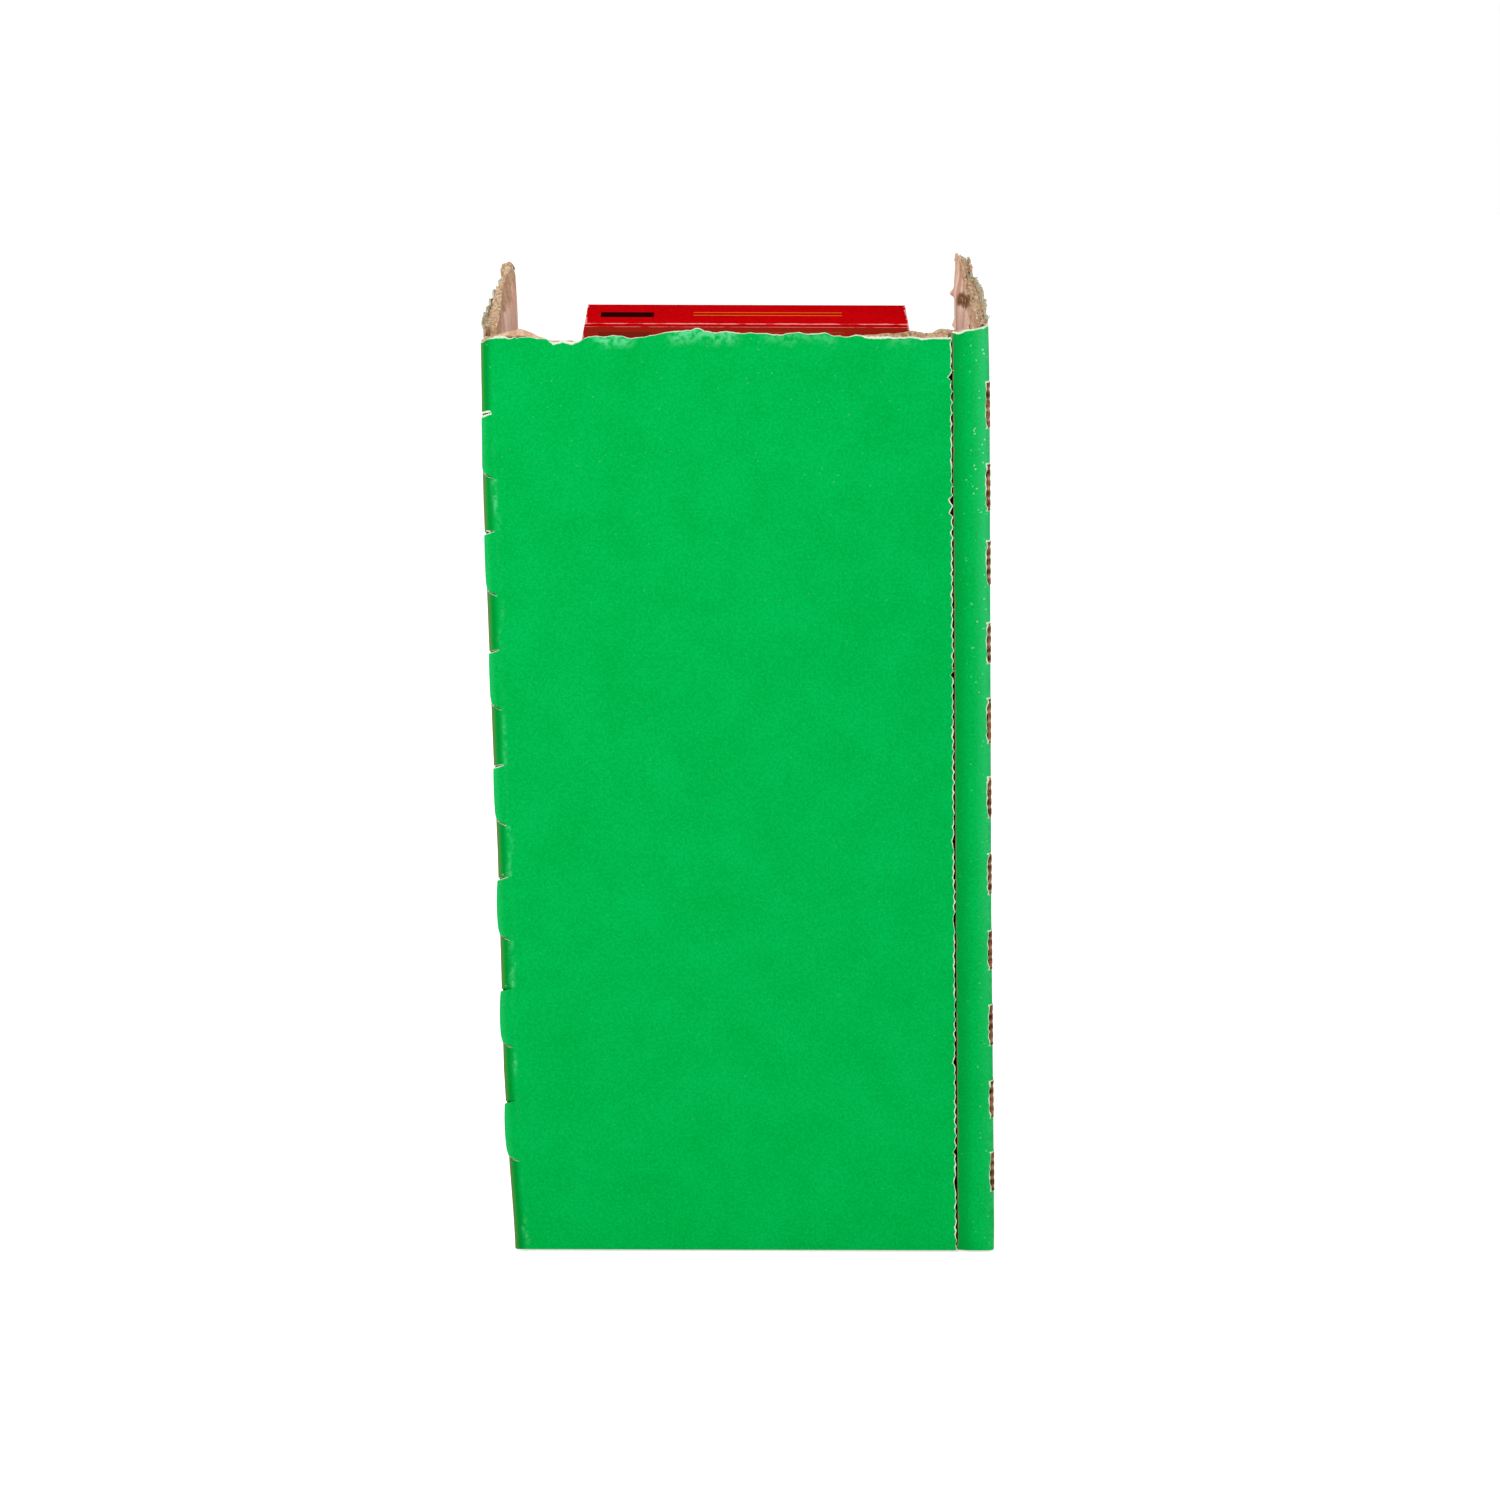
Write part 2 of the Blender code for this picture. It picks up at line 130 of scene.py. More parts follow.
# Left fold: tabs cut free of the wall, with a rounded crease between them
FOLD_X = LEFT_X + 2.2 * MM
FOLD_RADIUS = 1.35 * MM
FOLD_ARC = FOLD_RADIUS * math.pi / 2
FOLD_LENGTH = FOLD_ARC + 2.0 * MM
TAB_REACH = FOLD_X - LEFT_X
TAB_FIRST, TAB_PITCH, TAB_LENGTH, TAB_COUNT = 23.8 * MM, 21.6 * MM, 12.1 * MM, 7
TAB_ROUND = 3.0 * MM
TAB_BULGE = 0.35 * MM
TAB_SWELL = np.array([0.42, 0.42, 0.40, 0.15, 0.1, 0.1, 0.08]) * MM
TAB_SLANT_LOW, TAB_SLANT_HIGH, TAB_SLANT_REACH = 1.2 * MM, 0.75 * MM, 3.0 * MM
TAB_BACK_X, TAB_BACK_Y = 0.3 * MM, 0.7 * MM
TAB_SLIT = 0.12 * MM
FOLD_FOOT_SHARE, FOLD_FOOT_SPAN = 0.3, (1.0 * MM, 12.0 * MM)
WHITE_TAB_Z = 150.0 * MM

# Right fold: dashes of a perforation, open to the wall's flutes
RETURN_FOLD_X = RIGHT_X - 1.1 * MM
RETURN_RADIUS = RIGHT_X - RETURN_FOLD_X
RETURN_ARC = RETURN_RADIUS * math.pi / 2
RETURN_LENGTH = RETURN_ARC + WALL_Y - REAR_Y - RETURN_RADIUS
DASH_X = RIGHT_X - 0.62 * MM
DASH_CELL = 1.8 * MM
DASH_SLIT = 0.12 * MM
DASH_SET_BACK = 0.4 * MM
DASH_FIRST, DASH_PITCH, DASH_LENGTH, DASH_COUNT = 15.3 * MM, 14.53 * MM, 7.9 * MM, 11
CUT_GAP = 0.05 * MM
CUT_PLAY = 0.5 * MM

# Seam: the panel's raw edge and the strip's cut edge, at the foot and at the torn line
SEAM_OFFSET, STRIP_OFFSET = (-0.44, 0.18), (-0.78, -0.28)
SEAM_CELL = 1.9 * MM
SCALLOP = 0.34 * MM
NICK_SEED, NICK_COUNT, NICK_SPAN = 22, 9, (5.0, 168.0)
NICK_DEPTH, NICK_REACH = 0.5 * MM, 0.7 * MM
SEAM_SHUT, SEAM_OPEN = 0.9 * MM, 1.4 * MM
SHUT_GAP = 0.06 * MM
SEAM_TOP = 1.4 * MM

# Tape cartons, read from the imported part
CASE_LOW, CASE_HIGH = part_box("standing_carton_1_sleeve")
LID_LOW, LID_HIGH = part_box("standing_carton_1_lid")
SIDE = CASE_HIGH.x - CASE_LOW.x
THICK = CASE_HIGH.y - CASE_LOW.y
RIM_Z = CASE_HIGH.z - CASE_LOW.z
PAPERBOARD = 0.40 * MM
TAPE_LOW, TAPE_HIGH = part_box("standing_carton_1_tape")
CORE_LOW, CORE_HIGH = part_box("standing_carton_1_core")
# Cartons darkened with painted shade in front of the lid's crease, whose crease is also worn pale
SHADED_WORN_LIDS = ("standing_carton_1", "standing_carton_2", "flat_carton_2")
SMOOTH_ANGLE = math.radians(40)


# Selecting and shaping

def clear_selection():
    bpy.ops.object.select_all(action="DESELECT")


def work_on(piece):
    clear_selection()
    piece.select_set(True)
    bpy.context.view_layer.objects.active = piece


def name_piece(name):
    piece = bpy.context.object
    piece.name = name
    piece.data.name = name
    return piece


def edit(piece, faces=None, edges=None):
    """Enter edit mode with just these faces or edges selected, one flag for each."""
    work_on(piece)
    for items in (piece.data.vertices, piece.data.edges, piece.data.polygons):
        items.foreach_set("select", np.zeros(len(items), bool))
    bpy.context.tool_settings.mesh_select_mode = (False, edges is not None, edges is None)
    if faces is not None:
        piece.data.polygons.foreach_set("select", faces)
    if edges is not None:
        piece.data.edges.foreach_set("select", edges)
    bpy.ops.object.mode_set(mode="EDIT")


def leave():
    bpy.ops.object.mode_set(mode="OBJECT")


def points_of(piece):
    flat = np.empty(len(piece.data.vertices) * 3)
    piece.data.vertices.foreach_get("co", flat)
    return flat.reshape(-1, 3)


def move_points(piece, points):
    piece.data.vertices.foreach_set("co", np.asarray(points, np.float32).ravel())
    piece.data.update()


def write_value(piece, name, values):
    """One value for each point, or the same value for all of them."""
    values = np.broadcast_to(np.asarray(values, np.float32), len(piece.data.vertices))
    attribute = piece.data.attributes.new(name, "FLOAT", "POINT")
    attribute.data.foreach_set("value", np.ascontiguousarray(values))


def finish_with(piece, kind, **settings):
    """Add one modifier with these settings and apply it."""
    work_on(piece)
    modifier = piece.modifiers.new(kind.lower(), kind)
    for key, value in settings.items():
        setattr(modifier, key, value)
    bpy.ops.object.modifier_apply(modifier=modifier.name)


def face_middles(piece):
    flat = np.empty(len(piece.data.polygons) * 3)
    piece.data.polygons.foreach_get("center", flat)
    return flat.reshape(-1, 3)


def repaint(piece, chosen, old, new):
    """Give the chosen faces of one material slot another slot."""
    slots = np.empty(len(piece.data.polygons), np.int32)
    piece.data.polygons.foreach_get("material_index", slots)
    slots[chosen & (slots == old)] = new
    piece.data.polygons.foreach_set("material_index", slots)


def paint(piece, *names):
    for name in names:
        piece.data.materials.append(FINISHES[name])


def ramp(value, low, high):
    share = np.clip((value - low) / (high - low), 0.0, 1.0)
    return share * share * (3.0 - 2.0 * share)


def lean_over(piece):
    """Rack a square piece of the shelf carton to the left, and bow its two rear corners."""
    x, y, z = points_of(piece).T
    near = 1.0 - ramp(y, *BOW_DEPTH)
    left = np.interp(z, LEFT_BOW[0], LEFT_BOW[1]) * ramp(-x, *LEFT_BOW_REACH)
    right = np.interp(z, RIGHT_BOW[0], RIGHT_BOW[1]) * ramp(x, *RIGHT_BOW_REACH)
    x = x + near * (left + right) - LEAN * (z - LEAN_PIVOT)
    x = np.clip(x, CAD_LOW.x + BOX_ROOM, CAD_HIGH.x - BOX_ROOM)
    move_points(piece, np.column_stack((x, y, np.maximum(z, 0.0))))


def seat(piece, slot, *nodes, body=SHELF):
    """Shade a finished piece, and let it ride on its body in place of its CAD nodes."""
    if body == SHELF:
        lean_over(piece)
    work_on(piece)
    bpy.ops.object.shade_smooth_by_angle(angle=SMOOTH_ANGLE)
    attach(piece, body)
    if nodes:
        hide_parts(*nodes)


# Rough lines

def ragged(along, size, wave, seed):
    """A rough line: seeded heights up to the size, one wave apart."""
    knots = np.arange(-0.2, 0.3, wave)
    heights = np.random.default_rng(seed).uniform(-size, size, len(knots))
    return np.interp(along, knots, heights)


def rough(name, along, more_seed=0):
    """One of the named rough lines."""
    size, wave, seed = ROUGH[name]
    return ragged(along, size, wave * MM, seed + more_seed)


def torn(along, points, seed, roughness=1.0):
    """A torn edge's height along a panel, from its main points in millimetres."""
    at, height = np.array(points).T * MM
    line = np.interp(along, at, height)
    for index, (size, wave) in enumerate(TORN_WAVES):
        line = line + ragged(along, size * roughness * MM, wave * MM, seed + index)
    return np.minimum(line, TOP_Z)


def lift(row, top):
    """The height of a row: as given below the tear's foot, and stretched to the torn line above it."""
    stretch = (top - TEAR_FOOT) / (TEAR_LINE - TEAR_FOOT)
    return np.where(row <= TEAR_FOOT, row, TEAR_FOOT + (row - TEAR_FOOT) * stretch)


# Sheets

def steps(start, end, step):
    return list(np.linspace(start, end, max(2, round(abs(end - start) / step) + 1)))


def torn_rows(foot, step, cuts=(), fine=False):
    """Rows from the foot to the torn line, with a close pair of rows at each end of each cut."""
    pairs = [end + side * CUT_GAP for cut in cuts for end in cut for side in (-1, 1)]
    rows = steps(foot, TEAR_FOOT, step)
    rows = [row for row in rows if all(abs(row - pair) > 3 * CUT_GAP for pair in pairs)]
    top = list(TEAR_LINE - TEAR_ROWS)
    if fine:
        top = steps(TEAR_FOOT, TEAR_LINE, FINE_ROW)[1:]
    return sorted(rows + pairs) + top


def add_sheet(name, columns, rows):
    """A grid with one point for each column and row, and the column and row of every point."""
    clear_selection()
    columns, rows = np.array(columns), np.array(rows)
    bpy.ops.mesh.primitive_grid_add(x_subdivisions=len(columns) - 1, y_subdivisions=len(rows) - 1, size=1)
    sheet = name_piece(name)
    grid = points_of(sheet) + 0.5
    column = columns[np.rint(grid[:, 0] * (len(columns) - 1)).astype(int)]
    row = rows[np.rint(grid[:, 1] * (len(rows) - 1)).astype(int)]
    return sheet, column, row


def middles(sheet, values):
    """The mean of a value over each four-sided face."""
    corners = np.empty(len(sheet.data.polygons) * 4, int)
    sheet.data.polygons.foreach_get("vertices", corners)
    return values[corners].reshape(-1, 4).mean(1)


def cut_faces(sheet, chosen):
    edit(sheet, faces=chosen)
    bpy.ops.mesh.delete(type="FACE")
    leave()


def thicken(sheet, thickness, offset=-1.0):
    finish_with(sheet, "SOLIDIFY", thickness=thickness, offset=offset, use_even_offset=False,
                material_offset=1, material_offset_rim=2)


def cut_spans(first, pitch, length, count, seed):
    """The two ends of each cut of a pattern, a little uneven as on the real blank."""
    rng = np.random.default_rng(seed)
    spans = []
    for index in range(count):
        low = first + index * pitch - length / 2
        foot = low + rng.uniform(-CUT_PLAY, CUT_PLAY)
        head = low + length + rng.uniform(-CUT_PLAY, CUT_PLAY)
        spans.append((foot, head))
    return spans


def inside(row, spans):
    return np.any([(row > low) & (row < high) for low, high in spans], axis=0)


def end_distance(row, ends):
    """How far a row is from the nearest of these cut ends."""
    return np.min([np.abs(row - end) for end in ends], axis=0)


TABS = cut_spans(TAB_FIRST, TAB_PITCH, TAB_LENGTH, TAB_COUNT, 3)
TAB_FEET, TAB_HEADS = zip(*TABS)
DASHES = cut_spans(DASH_FIRST, DASH_PITCH, DASH_LENGTH, DASH_COUNT, 4)
DASH_FEET, DASH_HEADS = zip(*DASHES)


# Printed liners. An edge value of CLEAR is well inside the print
CLEAR = 9.0
FOLD_COLUMNS = np.array([0.3, 0.6, 0.9, 1.2, 1.5]) * MM
SEAM_COLUMNS = np.array([1.5, 1.0, 0.7, 0.45, 0.3, 0.2, 0.1, 0.0]) * MM
STRIP_COLUMNS = np.array([0.0, 0.1, 0.2, 0.3, 0.45, 0.65, 0.9]) * MM
DASH_COLUMNS = np.array([0.3, 0.18, 0.08, 0.0]) * MM
PANEL_STEP, PANEL_ROW, STRIP_ROW = 0.56 * MM, 0.65 * MM, 0.6 * MM
WHITE_LEAST, FRINGE_LEAST = 0.02 * MM, 0.03 * MM
# White paper along the panel's torn top in millimetres: everywhere, at a spot, along a stretch, at the right
TOP_WHITE, SPOT_WHITE, STRETCH_WHITE, RIGHT_WHITE = 0.03, 0.55, 0.5, 0.27
SPOT_X, SPOT_REACH = -41.4 * MM, 1.5 * MM
STRETCH_START, STRETCH_END = (-33.2 * MM, -32.2 * MM), (-28.2 * MM, -27.0 * MM)
RIGHT_START = (17.0 * MM, 24.0 * MM)
# White paper along the raw seam edge and at the tabs' ends, where it grows with height
SEAM_WHITE, LOW_END_WHITE, HIGH_END_WHITE, TOP_TAB_WHITE = 0.15, 0.06 * MM, 0.03, 0.3
HIGH_END_SPAN, TOP_TAB_SPAN = (40.0 * MM, 90.0 * MM), (150.0 * MM, 156.0 * MM)
# Wear along the left fold: its line, how strong it is there and on a tab, and the tones past it: how far
# painted shade reaches round the crease, painted grey-brown shade and grazing reflection at its far side, and
# a paler tab
FOLD_LINE_OFF, FOLD_LINE_HALF = 0.05 * MM, 0.22 * MM
FOLD_WORN, FOLD_WORN_MOST, TAB_WORN = 0.2, 0.8, 0.05
FOLD_SHADE_REACH, FOLD_TURN_SHADE, FOLD_TURN_SHADE_SPAN = 0.6 * MM, 0.55, (1.0 * MM, 1.6 * MM)
TAB_PALE, TAB_PALE_FROM = 0.4, 0.9 * MM
PANEL_SCUFF, PANEL_SCUFF_MORE, PANEL_SCUFF_SPAN = 0.06, 0.04, (110.0 * MM, 172.0 * MM)
# White paper of the strip in millimetres: along its top, beside a dash, past a dash's upper and lower end
STRIP_WHITE, DASH_WHITE, HEAD_WHITE, END_WHITE = 0.30, 0.16, 0.36, 0.10
HEAD_REACH, DASH_NEAR = 0.9 * MM, 0.3 * MM
# A dash's edge: bitten by the flutes and narrower at its ends, with a waved wall behind the hole
CELL_BITE, END_TAPER, END_TAPER_REACH = 0.16, 0.3, 1.8 * MM
HOLE_OUT, HOLE_IN, SEAM_SINK = 0.12 * MM, 0.25 * MM, 0.35 * MM


def left_fold(beyond, z, in_tab):
    """Where the liner lies past the left fold's start: round the crease, or flat along a tab."""
    turn = np.minimum(beyond / FOLD_RADIUS, math.pi / 2)
    tail = np.maximum(beyond - FOLD_ARC, 0.0) / (FOLD_LENGTH - FOLD_ARC)
    deep = FOLD_RADIUS * (FOLD_FOOT_SHARE + (1.0 - FOLD_FOOT_SHARE) * ramp(z, *FOLD_FOOT_SPAN))
    x = FOLD_X - TAB_REACH * np.sin(turn)
    y = REAR_Y + deep * (1.0 - np.cos(turn)) + tail * (WALL_Y - REAR_Y - deep)
    foot = np.min([np.where(z >= low, z - low, 1.0) for low in TAB_FEET], axis=0)
    reach = TAB_REACH - TAB_BULGE * (1.0 - ramp(foot, 0.0, TAB_ROUND))
    for swell, (low, high) in zip(TAB_SWELL, TABS):
        reach = reach + swell * np.sin(math.pi * np.clip((z - low) / (high - low), 0.0, 1.0)) ** 0.7
    flat = beyond <= TAB_REACH
    back = np.clip((beyond - TAB_REACH) / (FOLD_LENGTH - TAB_REACH), 0.0, 1.0)
    tab_x = np.where(flat, FOLD_X - beyond * reach / TAB_REACH, LEFT_X + TAB_BACK_X * (1.0 - back))
    tab_y = np.where(flat, REAR_Y, REAR_Y + TAB_BACK_Y + back * (WALL_Y - REAR_Y - TAB_BACK_Y))
    return np.where(in_tab, tab_x, x), np.where(in_tab, tab_y, y)


def tab_slant(row):
    """How far a row near a tab's end is drawn in at the tab's free edge, so that the tab narrows outwards."""
    slant = np.zeros(len(row))
    for low, high in TABS:
        slant = slant + TAB_SLANT_LOW * (1.0 - ramp(np.abs(row - low), 0.0, TAB_SLANT_REACH))
        slant = slant - TAB_SLANT_HIGH * (1.0 - ramp(np.abs(row - high), 0.0, TAB_SLANT_REACH))
    return slant


def seam_edge(z):
    """The raw edge of the rear panel: leaning, scalloped by the flutes and nicked here and there."""
    edge = SEAM_X + np.interp(z, [0.0, TEAR_LINE], SEAM_OFFSET) * MM
    edge = edge + SCALLOP * (1.0 - np.abs(np.sin(math.pi * z / SEAM_CELL))) + rough("seam_edge", z) * MM
    for nick in np.random.default_rng(NICK_SEED).uniform(*NICK_SPAN, NICK_COUNT) * MM:
        edge = edge - NICK_DEPTH * np.maximum(0.0, 1.0 - np.abs(z - nick) / NICK_REACH)
    return edge


def panel_rim(column, row, x, z, top, past_fold):
    """The distance from the torn top, the raw seam edge and the tabs' ends, in widths of white paper."""
    white = SPOT_WHITE * np.exp(-((x - SPOT_X) / SPOT_REACH) ** 2)
    white = white + STRETCH_WHITE * ramp(x, *STRETCH_START) * (1.0 - ramp(x, *STRETCH_END))
    white = TOP_WHITE + white + RIGHT_WHITE * ramp(x, *RIGHT_START) + rough("panel_white", x)
    rim = (top - z) / np.maximum(white * MM, WHITE_LEAST)
    fringe = SEAM_WHITE + rough("panel_fringe", z)
    rim = np.minimum(rim, (seam_edge(z) - x) / np.maximum(fringe * MM, WHITE_LEAST))
    low_end = end_distance(row, TAB_FEET) / LOW_END_WHITE
    grown = (HIGH_END_WHITE + np.abs(rough("tab_ends", z))) * ramp(z, *HIGH_END_SPAN)
    torn_end = HIGH_END_WHITE + grown + TOP_TAB_WHITE * ramp(z, *TOP_TAB_SPAN)
    high_end = end_distance(row, TAB_HEADS) / (torn_end * MM)
    at_fold = (column < FOLD_X - 0.2 * MM) & (past_fold <= TAB_REACH)
    return np.minimum(rim, np.where(at_fold, np.minimum(low_end, high_end), CLEAR))


def panel_rub(column, x, z, top, in_tab):
    """Where the print is rubbed pale: in patches below the tear, and along the left fold's crease."""
    rub = np.zeros(len(x))
    for start, end, strength in RUBS:
        window = ramp(x, start * MM, (start + RUB_FADE) * MM)
        window = window * (1.0 - ramp(x, (end - RUB_FADE) * MM, end * MM))
        depth = (RUB_DEPTH + rough("rub_depth", x)) * MM
        rub = np.maximum(rub, strength * window * (1.0 - ramp(top - z, 0.25 * depth, depth)))
    off = column - FOLD_X - FOLD_LINE_OFF + rough("fold_line", z) * MM
    line = np.exp(-(off / FOLD_LINE_HALF) ** 2)
    worn = np.clip(FOLD_WORN + rough("fold_worn", z) + rough("fold_worn_fine", z), 0.0, FOLD_WORN_MOST)
    return np.maximum(rub, line * np.where(in_tab, TAB_WORN, worn))


def add_rear_print():
    """The rear panel's green face, its torn top, the raw seam edge and the left fold with its tabs."""
    past = [TAB_REACH + TAB_SLIT] + steps(TAB_REACH + 0.45 * MM, FOLD_LENGTH, 0.4 * MM)
    fold = [FOLD_X - value for value in [*FOLD_COLUMNS, TAB_REACH, *past]]
    columns = sorted(fold) + steps(FOLD_X, SEAM_X - 2.0 * MM, PANEL_STEP) + list(SEAM_X - SEAM_COLUMNS)
    sheet, column, row = add_sheet("rear_panel_print", columns, torn_rows(0.0, PANEL_ROW, TABS))
    top = torn(column, PANEL_TEAR, 31)
    z = lift(row, top)
    in_tab = inside(row, TABS)
    past_fold = np.maximum(FOLD_X - column, 0.0)
    z = z + tab_slant(row) * np.minimum(past_fold / TAB_REACH, 1.0)
    fold_x, fold_y = left_fold(past_fold, z, in_tab)
    near_seam = ramp(column, SEAM_X - 3.0 * MM, SEAM_X)
    x = np.where(column < FOLD_X, fold_x, column + near_seam * (seam_edge(z) - SEAM_X))
    y = np.where(column < FOLD_X, fold_y, REAR_Y)
    move_points(sheet, np.column_stack((x, y, z)))

    write_value(sheet, "rim", panel_rim(column, row, x, z, top, past_fold))
    write_value(sheet, "rub", panel_rub(column, x, z, top, in_tab))
    # Painted shade: the print darkens round the left fold's crease, where the board turns away, though not on
    # the tabs
    write_value(sheet, "crease", np.where(in_tab, 0.0, ramp(past_fold, 0.0, FOLD_SHADE_REACH)))
    write_value(sheet, "scuff", PANEL_SCUFF + PANEL_SCUFF_MORE * ramp(z, *PANEL_SCUFF_SPAN))
    write_value(sheet, "pale", np.where(in_tab, TAB_PALE, 0.0) * ramp(past_fold, TAB_PALE_FROM, TAB_REACH))
    # Painted shade and grazing reflection: grey-brown on the far side of the crease, where the fold turns
    # away
    write_value(sheet, "bare", np.where(in_tab, 0.0, FOLD_TURN_SHADE) * ramp(past_fold, *FOLD_TURN_SHADE_SPAN))

    mid_column, mid_tab = middles(sheet, column), middles(sheet, in_tab.astype(float))
    behind = FOLD_X - TAB_REACH - mid_column
    slit = (mid_tab > 0.9) & (behind > 0.0) & (behind < TAB_SLIT)
    ends = (mid_tab > 0.1) & (mid_tab < 0.9) & (mid_column < FOLD_X - 0.3 * MM)
    paint(sheet, "green_print", "kraft_liner", "torn_white")
    cut_faces(sheet, slit | (ends & (mid_column > FOLD_X - FOLD_LENGTH + 0.5 * MM)))
    thicken(sheet, LINER)
    middle_x, _, middle_z = face_middles(sheet).T
    repaint(sheet, (middle_x < FOLD_X + 0.2 * MM) & (middle_z < WHITE_TAB_Z), 2, 0)
    seat(sheet, "green_print", "rear_panel_printed_liner")


def right_fold(beyond, in_dash):
    """Where the strip's liner lies past the right fold's start, or on the wall beside an open dash."""
    turn = np.clip(beyond / RETURN_RADIUS, 0.0, math.pi / 2)
    tail = np.maximum(beyond - RETURN_ARC, 0.0)
    x = RETURN_FOLD_X + np.minimum(beyond, 0.0) + RETURN_RADIUS * np.sin(turn)
    y = REAR_Y + RETURN_RADIUS * (1.0 - np.cos(turn)) + tail
    start = DASH_X - RETURN_FOLD_X
    share = np.clip((beyond - start) / (RETURN_LENGTH - start), 0.0, 1.0)
    open_x = DASH_X + (RIGHT_X - DASH_X) * np.minimum(share * 2.0, 1.0)
    back = np.maximum(share * 2.0 - 1.0, 0.0)
    open_y = REAR_Y + DASH_SET_BACK + back * (WALL_Y - REAR_Y - DASH_SET_BACK)
    on_wall = in_dash & (beyond > start + 0.01 * MM)
    return np.where(on_wall, open_x, x), np.where(on_wall, open_y, y)


def strip_edge(z):
    """The cut edge of the strip, which meets the rear panel at the foot."""
    edge = RETURN_X + (np.interp(z, [0.0, TEAR_LINE], STRIP_OFFSET) + rough("strip_edge", z)) * MM
    seam = seam_edge(z)
    shut = seam + SHUT_GAP + (edge - seam) * ramp(z, SEAM_SHUT, SEAM_OPEN)
    return np.where(z < SEAM_OPEN, shut, edge)


def strip_rim(column, row, x, z, top, in_dash):
    """The distance from the torn top and the dashes' edges, in widths of the white paper there."""
    rim = (top - z) / ((STRIP_WHITE + rough("strip_white", x)) * MM)
    fringe = np.maximum((DASH_WHITE + rough("dash_fringe", z)) * MM, FRINGE_LEAST)
    rim = np.minimum(rim, np.where(in_dash & (column <= DASH_X), (DASH_X - column) / fringe, CLEAR))
    white = np.where(end_distance(row, DASH_HEADS) < HEAD_REACH, HEAD_WHITE, END_WHITE)
    width = np.maximum((white + rough("dash_ends", z)) * MM, FRINGE_LEAST)
    on_strip = (column > DASH_X - DASH_NEAR) & ~in_dash & (column - RETURN_FOLD_X < RETURN_ARC)
    past_end = end_distance(row, DASH_FEET + DASH_HEADS) / width
    return np.minimum(rim, np.where(on_strip, past_end, CLEAR))


